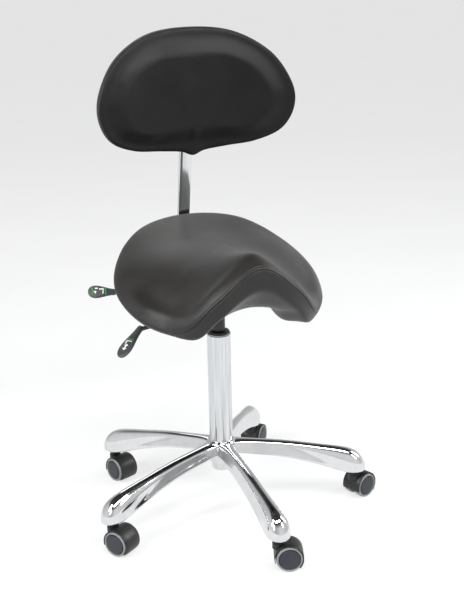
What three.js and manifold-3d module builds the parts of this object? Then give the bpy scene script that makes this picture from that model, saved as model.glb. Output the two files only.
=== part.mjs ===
// Saddle work stool with a small backrest, on a five-legged base with twin-wheel casters.
//
// Millimetres. +Z is up, the sitter faces -Y, and the sitter's left is +X.
// The origin is on the column's axis, at the floor.

import * as THREE from 'three';
import { mergeVertices } from 'three/addons/utils/BufferGeometryUtils.js';
import Module from 'manifold-3d';

// ---------------------------------------------------------------- driving dimensions

const GAP = 0.3; // between pieces that touch

const LEG_COUNT = 5;
const FIRST_LEG = -90; // degrees, straight ahead
const STEM_REACH = 290; // column axis to caster stem
const LEG_FLOOR = 57; // underside of a leg's end, above the floor
const LEG_WALL = 5;
const TOE_RADIUS = 25;
const TOE_TOP = 119;
const TOE_DOME = 20; // height of the rounded top of a leg's end
const SOCKET_TOP = 94; // of the caster's socket in a leg
const HUB = { radius: 33, top: 157, bottom: 112 };

const TUBE = { radius: 25, bore: 22.4, top: 396, foot: 90, footRadius: 21, taperTop: 158 };
const ROD_RADIUS = 5;
const ROD_TOP = 320;
const BUSH_DEPTH = 66; // how far the guide bush reaches into the tube
const GAS = { radius: 14, bottom: 120, top: 488, boreTop: 430, pinBore: 4.4 };

const WHEEL = { radius: 27, inner: 5.6, outer: 26, sides: 18 };
const CASTER_TRAIL = 20;
const AXLE_RADIUS = 4;
const STEM_RADIUS = 5.5;
const STEM = { low: 43, high: 92 };
const HOOD = {
  webRadius: 22, webHalf: 4.8, guardIn: 27.9, guardOut: 29.3, guardHalf: 19,
  guardFrom: -38, guardTo: 158, // degrees, from the trailing side up and over
  collarRadius: 12, collarLow: 40, collarHigh: 55,
};
const CASTER_TURNS = [-22, 22, 45, -67, -55]; // way each caster trails, degrees

const HOUSING = { half: 37, front: -40, back: 150, bottom: 464, top: 513, wall: 3 };
const LEVER_RADIUS = 4.5;
const HEIGHT_LEVER = { y: 0, z: 500 };
const TILT_LEVER = { y: 96, z: 488 };
const PIVOT = { y: 132, z: 490, radius: 6 };
const BAR = { width: 27, thick: 8 };
const GUIDE = { bottom: 836, top: 896 };
const KNOB_HEIGHT = 864;

// ---------------------------------------------------------------- materials

const finish = (color, roughness, metalness) => (
  new THREE.MeshStandardMaterial({ color, roughness, metalness })
);
const CHROME = () => finish('#d9dbdd', 0.08, 1);
const STEEL = () => finish('#8d9094', 0.35, 1);
const BLACK_STEEL = () => finish('#1c1c1e', 0.45, 0.6);
const BLACK_PLASTIC = () => finish('#202123', 0.5, 0);
const GREY_PLASTIC = () => finish('#3a3b3e', 0.5, 0);
const RUBBER = () => finish('#18181a', 0.9, 0);
const LEATHER = () => finish('#2c2c2e', 0.42, 0);

// ---------------------------------------------------------------- solids

const wasm = await Module();
wasm.setup();

// A geometry with shared corners, its faces turned outwards.
function closed(geometry) {
  const bare = geometry.clone();
  bare.deleteAttribute('normal');
  bare.deleteAttribute('uv');
  const merged = mergeVertices(bare, 1e-4);
  const place = merged.attributes.position;
  const index = merged.index.array;
  const kept = [];
  let volume = 0;
  const corner = [new THREE.Vector3(), new THREE.Vector3(), new THREE.Vector3()];
  for (let i = 0; i < index.length; i += 3) {
    const [a, b, c] = [index[i], index[i + 1], index[i + 2]];
    if (a === b || b === c || c === a) continue;
    kept.push(a, b, c);
    corner.forEach((point, k) => point.fromBufferAttribute(place, index[i + k]));
    volume += corner[0].dot(corner[1].cross(corner[2]));
  }
  if (volume < 0) {
    for (let i = 0; i < kept.length; i += 3) {
      [kept[i], kept[i + 1]] = [kept[i + 1], kept[i]];
    }
  }
  merged.setIndex(kept);
  return merged;
}

function toSolid(geometry) {
  const shape = closed(geometry);
  return new wasm.Manifold(new wasm.Mesh({
    numProp: 3,
    vertProperties: new Float32Array(shape.attributes.position.array),
    triVerts: new Uint32Array(shape.index.array),
  }));
}

function toGeometry(solid) {
  const mesh = solid.getMesh();
  const geometry = new THREE.BufferGeometry();
  geometry.setAttribute('position', new THREE.BufferAttribute(mesh.vertProperties, 3));
  geometry.setIndex(new THREE.BufferAttribute(mesh.triVerts, 1));
  return geometry;
}

const join = (...shapes) => toGeometry(shapes.map(toSolid).reduce((a, b) => a.add(b)));
const cut = (shape, ...tools) => (
  toGeometry(tools.map(toSolid).reduce((a, b) => a.subtract(b), toSolid(shape)))
);

function box(low, high) {
  const size = high.map((value, i) => value - low[i]);
  const shape = new THREE.BoxGeometry(...size);
  return shape.translate(...low.map((value, i) => value + size[i] / 2));
}

// A turned piece about Z, from [radius, height] points.
function turned(profile, sides = 24) {
  const points = profile.map(([radius, height]) => new THREE.Vector2(radius, height));
  return new THREE.LatheGeometry(points, sides).rotateX(Math.PI / 2);
}

// A round ring or bush about Z.
function ring(inner, outer, low, high, sides = 24) {
  return turned([[inner, low], [outer, low], [outer, high], [inner, high], [inner, low]], sides);
}

function pinAlong(axis, radius, from, to, sides = 12) {
  const shape = turned([[0, from], [radius, from], [radius, to], [0, to]], sides);
  if (axis === 'x') return shape.rotateY(Math.PI / 2);
  if (axis === 'y') return shape.rotateX(-Math.PI / 2);
  return shape;
}

// A closed skin over rings of points that each go once round; single points close the two ends.
function skin(rings) {
  const points = [];
  const start = rings.map((row) => {
    const first = points.length;
    points.push(...row);
    return first;
  });
  const faces = [];
  for (let k = 0; k + 1 < rings.length; k += 1) {
    const [low, high] = [rings[k], rings[k + 1]];
    const count = Math.max(low.length, high.length);
    for (let i = 0; i < count; i += 1) {
      const next = (i + 1) % count;
      const a = start[k] + (low.length > 1 ? i : 0);
      const b = start[k] + (low.length > 1 ? next : 0);
      const c = start[k + 1] + (high.length > 1 ? i : 0);
      const d = start[k + 1] + (high.length > 1 ? next : 0);
      if (low.length > 1) faces.push(a, b, c);
      if (high.length > 1) faces.push(b, d, c);
    }
  }
  const geometry = new THREE.BufferGeometry();
  geometry.setAttribute('position', new THREE.Float32BufferAttribute(points.flat(), 3));
  geometry.setIndex(faces);
  return geometry;
}

// A closed loop through half an outline and its mirror image in X.
function mirroredLoop(half) {
  const back = half.slice(1, -1).reverse().map(([x, y, z]) => [-x, y, z]);
  const points = [...half, ...back].map((point) => new THREE.Vector3(...point));
  return new THREE.CatmullRomCurve3(points, true, 'catmullrom', 0.5);
}

function roundTube(points, radius, steps, sides = 8) {
  const section = new THREE.Shape(around(sides, (turn) => (
    new THREE.Vector2(radius * Math.cos(turn * Math.PI * 2), radius * Math.sin(turn * Math.PI * 2))
  )));
  const path = new THREE.CatmullRomCurve3(points.map((point) => new THREE.Vector3(...point)));
  return new THREE.ExtrudeGeometry(section, {
    steps,
    extrudePath: path,
  });
}

// An outline in the YZ plane, given as [y, z], extruded evenly to both sides of X = 0.
function sideways(outline, width) {
  const shape = new THREE.Shape(outline.map(([y, z]) => new THREE.Vector2(y, z)));
  const solid = new THREE.ExtrudeGeometry(shape, { depth: width, bevelEnabled: false });
  return solid.translate(0, 0, -width / 2).applyMatrix4(new THREE.Matrix4().set(
    0, 0, 1, 0,
    1, 0, 0, 0,
    0, 1, 0, 0,
    0, 0, 0, 1,
  ));
}

const clamp01 = (value) => Math.min(1, Math.max(0, value));
const ease = (low, high, value) => {
  const part = clamp01((value - low) / (high - low));
  return part * part * (3 - 2 * part);
};
const bell = (value, middle, spread) => Math.exp(-(((value - middle) / spread) ** 2));

function around(count, point) {
  return Array.from({ length: count }, (_, i) => point(i / count));
}

const stool = new THREE.Group();

function add(group, name, geometry, material) {
  const mesh = new THREE.Mesh(closed(geometry), material);
  mesh.name = name;
  group.add(mesh);
  return mesh;
}

// ---------------------------------------------------------------- base star

// Leg stations: reach, crest height, lip height, half width at the lips.
const LEG_STATIONS = [
  [22, 156, 131, 22],
  [70, 153, 127, 19],
  [130, 145, 116, 18],
  [190, 135, 97, 19.5],
  [240, 126, 76, 21.5],
  [282, 120, LEG_FLOOR + 2, 24],
];

function legArch(reach, crest, lip, half, sides) {
  const points = [];
  for (let i = 0; i <= sides; i += 1) {
    const turn = Math.PI * (i / sides);
    const rise = Math.sin(turn) ** 0.75;
    const spread = Math.sign(Math.cos(turn)) * Math.abs(Math.cos(turn)) ** 0.75;
    points.push([reach, half * spread * (1 - 0.22 * rise), lip + (crest - lip) * rise]);
  }
  return points;
}

const ARCH_OUTSIDE = 8; // sides of a leg's outer and inner arch
const ARCH_INSIDE = 6;

function legShell() {
  const rings = LEG_STATIONS.map(([reach, crest, lip, half]) => {
    const outside = legArch(reach, crest, lip, half, ARCH_OUTSIDE);
    const inside = legArch(reach, crest - LEG_WALL, lip, half - LEG_WALL, ARCH_INSIDE);
    return [...outside, ...inside.reverse()];
  });
  const count = rings[0].length;
  const geometry = skin(rings);
  const faces = Array.from(geometry.index.array);
  const cap = (first, flip) => {
    const outer = (i) => first + i;
    const inner = (i) => first + count - 1 - i;
    const across = (i) => Math.round((i * ARCH_INSIDE) / ARCH_OUTSIDE);
    for (let i = 0; i < ARCH_OUTSIDE; i += 1) {
      const [j, k] = [across(i), across(i + 1)];
      const quad = [[outer(i), outer(i + 1), inner(k)], [outer(i), inner(k), inner(j)]];
      quad.forEach(([a, b, c]) => faces.push(...(flip ? [a, c, b] : [a, b, c])));
    }
  };
  cap(0, true);
  cap(count * (rings.length - 1), false);
  geometry.setIndex(faces);
  return geometry;
}

// The rounded end of a leg, with its top swelling up over the caster stem.
function legToe() {
  const shoulder = TOE_TOP - TOE_DOME;
  const profile = [[0, LEG_FLOOR], [TOE_RADIUS - 3, LEG_FLOOR], [TOE_RADIUS, LEG_FLOOR + 5]];
  for (let i = 0; i <= 4; i += 1) {
    const turn = (Math.PI / 2) * (i / 4);
    profile.push([TOE_RADIUS * Math.cos(turn), shoulder + TOE_DOME * Math.sin(turn)]);
  }
  return turned(profile, 18).translate(STEM_REACH, 0, 0);
}

function baseStar() {
  const solids = [ring(8, HUB.radius, HUB.bottom, HUB.top, 24)];
  const tools = [turned([
    [0, HUB.bottom - 1],
    [TUBE.footRadius + 1.3 + GAP, HUB.bottom - 1],
    [TUBE.radius + GAP, TUBE.taperTop],
    [TUBE.radius + GAP, TUBE.taperTop + 5],
    [0, TUBE.taperTop + 5],
  ])];
  for (let i = 0; i < LEG_COUNT; i += 1) {
    const turn = THREE.MathUtils.degToRad(FIRST_LEG + (360 / LEG_COUNT) * i);
    solids.push(legShell().rotateZ(turn), legToe().rotateZ(turn));
    const socket = pinAlong('z', STEM_RADIUS + GAP, LEG_FLOOR - 1, SOCKET_TOP, 12);
    tools.push(socket.translate(STEM_REACH, 0, 0).rotateZ(turn));
  }
  return cut(join(...solids), ...tools);
}

add(stool, 'base_star', baseStar(), CHROME());

// ---------------------------------------------------------------- column and gas lift

add(stool, 'column_tube', turned([
  [ROD_RADIUS + 1, TUBE.foot],
  [TUBE.footRadius - 2, TUBE.foot],
  [TUBE.footRadius, TUBE.foot + 3],
  [TUBE.radius, TUBE.taperTop],
  [TUBE.radius, TUBE.top],
  [TUBE.bore, TUBE.top],
  [TUBE.bore, TUBE.taperTop],
  [TUBE.footRadius - 3, TUBE.foot + 6],
  [ROD_RADIUS + 1, TUBE.foot + 6],
  [ROD_RADIUS + 1, TUBE.foot],
]), CHROME());

add(stool, 'column_bush', turned([
  [GAS.radius + GAP, TUBE.top - BUSH_DEPTH],
  [TUBE.bore - GAP, TUBE.top - BUSH_DEPTH],
  [TUBE.bore - GAP, TUBE.top + GAP],
  [TUBE.radius - 1, TUBE.top + GAP],
  [TUBE.radius - 3, TUBE.top + 6],
  [GAS.radius + GAP, TUBE.top + 8],
  [GAS.radius + GAP, TUBE.top - BUSH_DEPTH],
]), BLACK_PLASTIC());

const tubeFloor = TUBE.foot + 6;
add(stool, 'piston_rod', pinAlong('z', ROD_RADIUS, TUBE.foot - 6, ROD_TOP, 14), STEEL());
add(stool, 'retaining_clip', ring(ROD_RADIUS + GAP, 11, TUBE.foot - 3, TUBE.foot - GAP, 16), STEEL());
add(stool, 'thrust_bearing', ring(ROD_RADIUS + GAP, 13, tubeFloor + GAP, tubeFloor + 5, 18), STEEL());
add(stool, 'bump_stop', ring(ROD_RADIUS + 0.6, 11, tubeFloor + 5.3, tubeFloor + 18, 18), RUBBER());

add(stool, 'gas_cylinder', turned([
  [0, GAS.boreTop],
  [ROD_RADIUS + 0.5, GAS.boreTop],
  [ROD_RADIUS + 0.5, GAS.bottom],
  [GAS.radius, GAS.bottom],
  [GAS.radius, GAS.top],
  [GAS.pinBore, GAS.top],
  [GAS.pinBore, GAS.top - 31],
  [0, GAS.top - 31],
]), BLACK_STEEL());

add(stool, 'release_pin', turned([
  [0, GAS.top - 26],
  [4, GAS.top - 26],
  [4, GAS.top + 5],
  [3, GAS.top + 7],
  [0, GAS.top + 7],
], 14), STEEL());

// ---------------------------------------------------------------- casters

// Each caster is built with its stem on Z and its axle trailing towards +X.
function casterHood() {
  const middle = WHEEL.radius;
  const outline = new THREE.Shape();
  outline.absarc(CASTER_TRAIL, middle, HOOD.webRadius, 0, Math.PI * 2);
  const slab = (shape, half) => (
    new THREE.ExtrudeGeometry(shape, { depth: 2 * half, bevelEnabled: false, curveSegments: 6 })
      .translate(0, 0, -half).rotateX(Math.PI / 2)
  );
  const web = slab(outline, HOOD.webHalf);
  const guard = new THREE.Shape();
  const [low, high] = [THREE.MathUtils.degToRad(HOOD.guardFrom), THREE.MathUtils.degToRad(HOOD.guardTo)];
  guard.absarc(CASTER_TRAIL, middle, HOOD.guardOut, low, high, false);
  guard.absarc(CASTER_TRAIL, middle, HOOD.guardIn, high, low, true);
  const mudguard = slab(guard, HOOD.guardHalf);
  const spoke = box([8, -HOOD.webHalf, middle], [CASTER_TRAIL + 12, HOOD.webHalf, 56]);
  const wheelRoom = [-30, 5.1].map((from) => (
    pinAlong('y', 28.5, from, from + 24.9, 24).translate(CASTER_TRAIL, 0, middle)
  ));
  const collar = cut(
    pinAlong('z', HOOD.collarRadius, HOOD.collarLow, HOOD.collarHigh, 16),
    ...wheelRoom,
  );
  const wanted = join(web, mudguard, collar, cut(spoke, box([0, -6, 54], [60, 6, 60])));
  const stemHole = pinAlong('z', STEM_RADIUS + GAP, STEM.low, 60);
  const axleHole = pinAlong('y', AXLE_RADIUS + GAP, -10, 10);
  return cut(wanted, stemHole, axleHole.translate(CASTER_TRAIL, 0, middle));
}

function casterWheel(side) {
  const flat = 1 / Math.cos(Math.PI / WHEEL.sides);
  const profile = [
    [0, WHEEL.outer],
    [(WHEEL.radius - 7) * flat, WHEEL.outer],
    [(WHEEL.radius - 1) * flat, WHEEL.outer - 4],
    [WHEEL.radius * flat, WHEEL.outer - 7],
    [WHEEL.radius * flat, WHEEL.inner],
    [AXLE_RADIUS + GAP, WHEEL.inner],
    [AXLE_RADIUS + GAP, WHEEL.outer - 2.5],
    [0, WHEEL.outer - 2.5],
  ];
  const shape = turned(profile, WHEEL.sides).rotateZ(Math.PI / WHEEL.sides);
  return shape.rotateX(side * -Math.PI / 2);
}

CASTER_TURNS.forEach((trail, i) => {
  const leg = THREE.MathUtils.degToRad(FIRST_LEG + (360 / LEG_COUNT) * i);
  const caster = new THREE.Group();
  caster.position.set(STEM_REACH * Math.cos(leg), STEM_REACH * Math.sin(leg), 0);
  caster.rotation.z = THREE.MathUtils.degToRad(trail);
  stool.add(caster);
  const name = `caster_${i + 1}`;
  add(caster, `${name}_stem`, pinAlong('z', STEM_RADIUS, STEM.low + GAP, STEM.high), STEEL());
  add(caster, `${name}_hood`, casterHood(), BLACK_PLASTIC());
  const axle = add(caster, `${name}_axle`, pinAlong('y', AXLE_RADIUS, -23, 23), STEEL());
  axle.position.set(CASTER_TRAIL, 0, WHEEL.radius);
  [['a', 1], ['b', -1]].forEach(([letter, side]) => {
    const wheel = add(caster, `${name}_wheel_${letter}`, casterWheel(side), GREY_PLASTIC());
    wheel.position.set(CASTER_TRAIL, 0, WHEEL.radius);
  });
});

// ---------------------------------------------------------------- mechanism under the seat

const across = HOUSING.half + 10;
add(stool, 'mechanism_housing', cut(
  box([-HOUSING.half, HOUSING.front, HOUSING.bottom], [HOUSING.half, HOUSING.back, HOUSING.top]),
  box(
    [-HOUSING.half + HOUSING.wall, HOUSING.front + HOUSING.wall, HOUSING.bottom - 1],
    [HOUSING.half - HOUSING.wall, HOUSING.back + 1, HOUSING.top - HOUSING.wall],
  ),
  pinAlong('x', LEVER_RADIUS + 1, -across, 0).translate(0, HEIGHT_LEVER.y, HEIGHT_LEVER.z),
  pinAlong('x', LEVER_RADIUS + 1, -across, 0).translate(0, TILT_LEVER.y, TILT_LEVER.z),
  pinAlong('x', PIVOT.radius + GAP, -across, across).translate(0, PIVOT.y, PIVOT.z),
), BLACK_STEEL());

const socketTop = GAS.top - 4;
const socketHalf = HOUSING.half - HOUSING.wall - GAP;
add(stool, 'taper_socket', cut(
  join(
    pinAlong('z', 20, 458, socketTop, 24),
    box([-socketHalf, -32, socketTop - 5], [socketHalf, 32, socketTop]),
  ),
  pinAlong('z', GAS.radius + GAP, 450, GAS.top, 28),
), BLACK_STEEL());

const plateLow = HOUSING.top + GAP;
const plateHigh = plateLow + 4;
const BOLT_X = 45;
const BOLT_YS = [-30, 76];
const boltPlaces = [-BOLT_X, BOLT_X].flatMap((x) => BOLT_YS.map((y) => [x, y]));
add(stool, 'mounting_plate', cut(
  box([-53, HOUSING.front, plateLow], [53, 110, plateHigh]),
  ...boltPlaces.map(([x, y]) => pinAlong('z', 3.6, 500, 540, 12).translate(x, y, 0)),
), BLACK_STEEL());

add(stool, 'pivot_pin', join(
  pinAlong('x', PIVOT.radius, -across + 4, across - 4),
  pinAlong('x', 9, HOUSING.half + GAP, HOUSING.half + 5),
  pinAlong('x', 9, -HOUSING.half - 5, -HOUSING.half - GAP),
).translate(0, PIVOT.y, PIVOT.z), STEEL());

// ---------------------------------------------------------------- levers

const PADDLE = { rootHalf: 7, half: 15, thick: 6 };

// A flat moulded paddle from root to tip that widens to a rounded end.
function paddle(root, tip, tiltAxis) {
  const along = new THREE.Vector3(...tip).sub(new THREE.Vector3(...root));
  const length = along.length();
  const shape = new THREE.Shape();
  const { rootHalf, half } = PADDLE;
  shape.moveTo(0, -rootHalf);
  shape.bezierCurveTo(length * 0.35, -rootHalf - 1, length * 0.45, -half, length * 0.8, -half);
  shape.quadraticCurveTo(length, 1 - half, length, 0);
  shape.quadraticCurveTo(length, half - 1, length * 0.8, half);
  shape.bezierCurveTo(length * 0.45, half, length * 0.35, rootHalf + 1, 0, rootHalf);
  shape.closePath();
  const solid = new THREE.ExtrudeGeometry(shape, {
    depth: PADDLE.thick,
    bevelThickness: 2,
    bevelSize: 1.5,
    bevelSegments: 2,
    curveSegments: 6,
  }).translate(0, 0, -PADDLE.thick / 2);
  const forward = along.normalize();
  const sidewise = new THREE.Vector3().crossVectors(new THREE.Vector3(...tiltAxis), forward).normalize();
  const up = new THREE.Vector3().crossVectors(forward, sidewise);
  const basis = new THREE.Matrix4().makeBasis(forward, sidewise, up);
  return solid.applyMatrix4(basis.setPosition(...root));
}

function lever(name, path, tip, up) {
  add(stool, `${name}_rod`, roundTube(path, LEVER_RADIUS, 14), BLACK_STEEL());
  const [before, root] = path.slice(-2).map((point) => new THREE.Vector3(...point));
  const start = root.clone().addScaledVector(root.clone().sub(before).normalize(), 8.5);
  add(stool, `${name}_paddle`, paddle(start.toArray(), tip, up), GREY_PLASTIC());
}

lever('height', [
  [7, HEIGHT_LEVER.y, HEIGHT_LEVER.z],
  [-HOUSING.half + 10, HEIGHT_LEVER.y, HEIGHT_LEVER.z],
  [-HOUSING.half - 10, HEIGHT_LEVER.y, HEIGHT_LEVER.z],
  [-66, 3, 484],
  [-88, 8, 458],
  [-120, 15, 435],
  [-164, 27, 421],
], [-222, -18, 386], [-0.4, -0.3, 0.87]);

lever('tilt', [
  [-18, TILT_LEVER.y, TILT_LEVER.z],
  [-HOUSING.half + 10, TILT_LEVER.y, TILT_LEVER.z],
  [-HOUSING.half - 14, TILT_LEVER.y, TILT_LEVER.z],
  [-118, 124, 480],
  [-179, 148, 470],
], [-234, 151, 477], [0, -0.4, 0.92]);

// ---------------------------------------------------------------- saddle seat

// Half the rim of the seat's top, from the middle of the back round to the middle of the front.
const SEAT_RIM = mirroredLoop([
  [0, 178, 633],
  [113, 151, 620],
  [193, 82, 573],
  [227, 0, 527],
  [208, -94, 492],
  [148, -174, 488],
  [88, -212, 543],
  [0, -226, 599],
]);
const SEAT_MIDDLE = [0, -10, 593];
const SEAT_HALF_DEPTH = 23;
const SEAT_TURNS = 44;
const SEAT_REACHES = [0.2, 0.4, 0.54, 0.66, 0.8, 0.92, 0.98, 1];

const POMMEL_RISE = 18;
const FLANK_DROP = 70; // extra depth of the padding under each flank
// Extra depth under the front, deepest on the middle line.
const BELLY = { drop: 50, y: -160, spreadX: 75, spreadY: 52 };

// turn goes 0 to 1 round the rim, reach 0 to 1 from the middle out, side is 1 on top and -1 below.
function seatPoint(turn, reach, side) {
  const rim = SEAT_RIM.getPoint(turn);
  const fromFront = Math.abs(turn - 0.5);
  const squareness = 7 - 4.4 * ease(0.1, 0.18, fromFront);
  const swell = (1 - reach ** squareness) ** (1 / squareness);
  const fall = rim.z - SEAT_MIDDLE[2];
  const away = [rim.x - SEAT_MIDDLE[0], rim.y - SEAT_MIDDLE[1]];
  const slope = (2 * Math.min(0, fall) * reach * away[0]) / (away[0] ** 2 + away[1] ** 2);
  const upright = 1 / Math.hypot(1, slope);
  const pommel = side > 0 ? POMMEL_RISE * bell(reach, 0.76, 0.15) * bell(fromFront, 0, 0.11) : 0;
  const flank = side < 0 ? FLANK_DROP * bell(reach, 0.68, 0.23) * bell(fromFront, 0.21, 0.09) : 0;
  const depth = SEAT_HALF_DEPTH * (side * swell - 1) * upright;
  const x = SEAT_MIDDLE[0] + away[0] * reach - slope * depth;
  const y = SEAT_MIDDLE[1] + away[1] * reach;
  const belly = side < 0
    ? BELLY.drop * bell(x, 0, BELLY.spreadX) * bell(y, BELLY.y, BELLY.spreadY)
    : 0;
  return [x, y, SEAT_MIDDLE[2] + fall * reach ** 2 + depth + pommel - (flank + belly) * swell];
}

function seatRing(reach, side, lower = 0) {
  return around(SEAT_TURNS, (turn) => {
    const [x, y, z] = seatPoint(turn, reach, side);
    return [x, y, z - lower];
  });
}

function seatPole(side, lower = 0) {
  const [x, y, z] = seatPoint(0, 0, side);
  return [[x, y, z - lower]];
}

add(stool, 'seat_cushion', skin([
  seatPole(1),
  ...SEAT_REACHES.map((reach) => seatRing(reach, 1)),
  ...SEAT_REACHES.slice(0, -1).reverse().map((reach) => seatRing(reach, -1)),
  seatPole(-1),
]), LEATHER());

const PAN_GAP = 1.5;
const PAN_THICK = 6;
const PAN_REACHES = SEAT_REACHES.slice(0, 3);
add(stool, 'seat_pan', skin([
  seatPole(-1, PAN_GAP + PAN_THICK),
  ...PAN_REACHES.map((reach) => seatRing(reach, -1, PAN_GAP + PAN_THICK)),
  ...PAN_REACHES.slice().reverse().map((reach) => seatRing(reach, -1, PAN_GAP)),
  seatPole(-1, PAN_GAP),
]), BLACK_PLASTIC());

// Hexagon bolts up through the plate, each with a spacing collar under the pan.
boltPlaces.forEach(([x, y], i) => {
  const bolt = join(
    pinAlong('z', 3.2, plateLow - 6, plateHigh + 7, 12),
    pinAlong('z', 7, plateLow - 5.5, plateLow - GAP, 6),
    ring(3, 6, plateHigh + GAP, plateHigh + 7, 12),
  );
  add(stool, `seat_bolt_${i + 1}`, bolt.translate(x, y, 0), STEEL());
});

// ---------------------------------------------------------------- backrest arm

const BAR_BOLT_Y = 157;
const barBoltPlaces = [-8, 8];
const barBoltHole = (x) => pinAlong('z', 3.5, 470, 500, 12).translate(x, BAR_BOLT_Y, 0);

add(stool, 'arm_bracket', cut(
  join(
    pinAlong('x', 14, -30, 30, 20).translate(0, PIVOT.y, PIVOT.z),
    box([-18, PIVOT.y + 8, PIVOT.z - 12], [18, 186, PIVOT.z - 4 - GAP]),
  ),
  pinAlong('x', PIVOT.radius + GAP, -40, 40).translate(0, PIVOT.y, PIVOT.z),
  box([-16, PIVOT.y + 15, PIVOT.z - 4 - GAP], [16, 200, PIVOT.z + 20]),
  ...barBoltPlaces.map(barBoltHole),
), BLACK_STEEL());

const BAR_TOP_Y = 153.5; // middle of the bar where it is upright inside the pad
// Middle line of the bar, as [y, z]: flat on the bracket, round the bend, then up to the pad.
const BAR_LINE = [
  [149, 490], [166, 490], [180, 493], [193, 502], [201, 516], [203, 532],
  [197, 566], [189, 614], [178, 680], [168, 738], [158, 785], [154, 822],
  [BAR_TOP_Y, 850], [BAR_TOP_Y, 900], [BAR_TOP_Y, 955],
];

function barOutline() {
  const line = new THREE.SplineCurve(BAR_LINE.map(([y, z]) => new THREE.Vector2(y, z)));
  const steps = 36;
  const edge = (side) => Array.from({ length: steps + 1 }, (_, i) => {
    const point = line.getPoint(i / steps);
    const tangent = line.getTangent(i / steps);
    const offset = (side * BAR.thick) / 2;
    return [point.x - tangent.y * offset, point.y + tangent.x * offset];
  });
  return [...edge(1), ...edge(-1).reverse()];
}

const barSolid = sideways(barOutline(), BAR.width);
add(stool, 'backrest_bar', cut(barSolid, ...barBoltPlaces.map(barBoltHole)), CHROME());

barBoltPlaces.forEach((x, i) => {
  const barTop = PIVOT.z + BAR.thick / 2;
  const bolt = join(
    pinAlong('z', 3, PIVOT.z - 18, barTop + 2, 12),
    pinAlong('z', 6, barTop + GAP, barTop + 5, 6),
    pinAlong('z', 6, PIVOT.z - 17, PIVOT.z - 12 - GAP, 6),
  );
  add(stool, `bar_bolt_${i + 1}`, bolt.translate(x, BAR_BOLT_Y, 0), STEEL());
});

// ---------------------------------------------------------------- backrest pad

// Half the pad's outline, from the top round to the small drop over the bar.
const PAD_RIM = mirroredLoop([
  [0, 0, 1014],
  [92, 0, 1003],
  [166, 0, 960],
  [206, 0, 898],
  [211, 0, 846],
  [186, 0, 800],
  [134, 0, 776],
  [74, 0, 768],
  [26, 0, 762],
  [0, 0, 753],
]);
const PAD_MIDDLE = 885;
const PAD_TURNS = 36;
const PAD_PARTING = 128; // where cushion and shell meet, on the middle line
const PAD_WRAP = 52; // how far the ends come forward
const PAD_HALF_WIDTH = 212;

function padPoint(turn, reach, depth) {
  const rim = PAD_RIM.getPoint(turn);
  const x = rim.x * reach;
  const wrap = PAD_WRAP * (x / PAD_HALF_WIDTH) ** 2;
  return [x, PAD_PARTING - wrap + depth, PAD_MIDDLE + (rim.z - PAD_MIDDLE) * reach];
}

const padRing = (reach, depth) => around(PAD_TURNS, (turn) => padPoint(turn, reach, depth));
const padPole = (depth) => [padPoint(0, 0, depth)];
const rounded = (reach, power) => (1 - reach ** power) ** (1 / power);

const PAD_REACHES = [0.3, 0.55, 0.75, 0.88, 0.96, 1];
const PAD_FRONT = 30;
add(stool, 'back_cushion', skin([
  padPole(-PAD_FRONT),
  ...PAD_REACHES.map((reach) => padRing(reach, -PAD_FRONT * rounded(reach, 3))),
  ...PAD_REACHES.slice(0, -1).reverse().map((reach) => padRing(reach, 0)),
  padPole(0),
]), LEATHER());

const BACK_GAP = 1.2;
const PLATE_REACHES = PAD_REACHES.slice(0, 3);
const PLATE_BACK = 6;
add(stool, 'back_plate', skin([
  padPole(PLATE_BACK),
  ...PLATE_REACHES.map((reach) => padRing(reach, PLATE_BACK)),
  ...PLATE_REACHES.slice().reverse().map((reach) => padRing(reach, BACK_GAP)),
  padPole(BACK_GAP),
]), finish('#8a6b45', 0.7, 0));

const SHELL_BACK = 39;
const SHELL_WALL = 3;
const shellDepth = (reach, deepest) => BACK_GAP + (deepest - BACK_GAP) * rounded(reach, 3.5);
const shellSkin = skin([
  padPole(SHELL_BACK),
  ...PAD_REACHES.map((reach) => padRing(reach, shellDepth(reach, SHELL_BACK))),
  ...PAD_REACHES.slice().reverse().map((reach) => (
    padRing(0.97 * reach, shellDepth(reach, SHELL_BACK - SHELL_WALL))
  )),
  padPole(SHELL_BACK - SHELL_WALL),
]);
const knobHole = (radius) => pinAlong('y', radius, 145, 190).translate(0, 0, KNOB_HEIGHT);
const barMouth = box([-16, 141, 735], [16, 172, 822]);
add(stool, 'back_shell', cut(shellSkin, barMouth, knobHole(5)), BLACK_PLASTIC());

const slack = 0.8;
const barBack = BAR_TOP_Y + BAR.thick / 2;
add(stool, 'bar_guide', cut(
  box([-20, PAD_PARTING + PLATE_BACK + 2 * GAP, GUIDE.bottom], [20, barBack + slack + 3, GUIDE.top]),
  box(
    [-BAR.width / 2 - slack, barBack - BAR.thick - slack, GUIDE.bottom - 1],
    [BAR.width / 2 + slack, barBack + slack, GUIDE.top + 1],
  ),
  knobHole(4 + GAP),
), STEEL());

const screw = pinAlong('y', 4, barBack + 0.5, 184).translate(0, 0, KNOB_HEIGHT);
add(stool, 'knob_screw', screw, STEEL());

function knobOutline() {
  const shape = new THREE.Shape();
  const lobes = 5;
  const steps = 30;
  for (let i = 0; i < steps; i += 1) {
    const turn = (Math.PI * 2 * i) / steps;
    const radius = 18 + 2.5 * Math.cos(lobes * turn);
    const point = [radius * Math.cos(turn), radius * Math.sin(turn)];
    if (i === 0) shape.moveTo(...point);
    else shape.lineTo(...point);
  }
  return shape.closePath();
}

const knobBody = new THREE.ExtrudeGeometry(knobOutline(), {
  depth: 14,
  bevelThickness: 2,
  bevelSize: 2,
  bevelSegments: 1,
}).rotateX(-Math.PI / 2).translate(0, 172, KNOB_HEIGHT);
const knobBore = pinAlong('y', 4 + GAP, 165, 184 + GAP).translate(0, 0, KNOB_HEIGHT);
add(stool, 'clamp_knob', cut(knobBody, knobBore), BLACK_PLASTIC());

export default stool;
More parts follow.
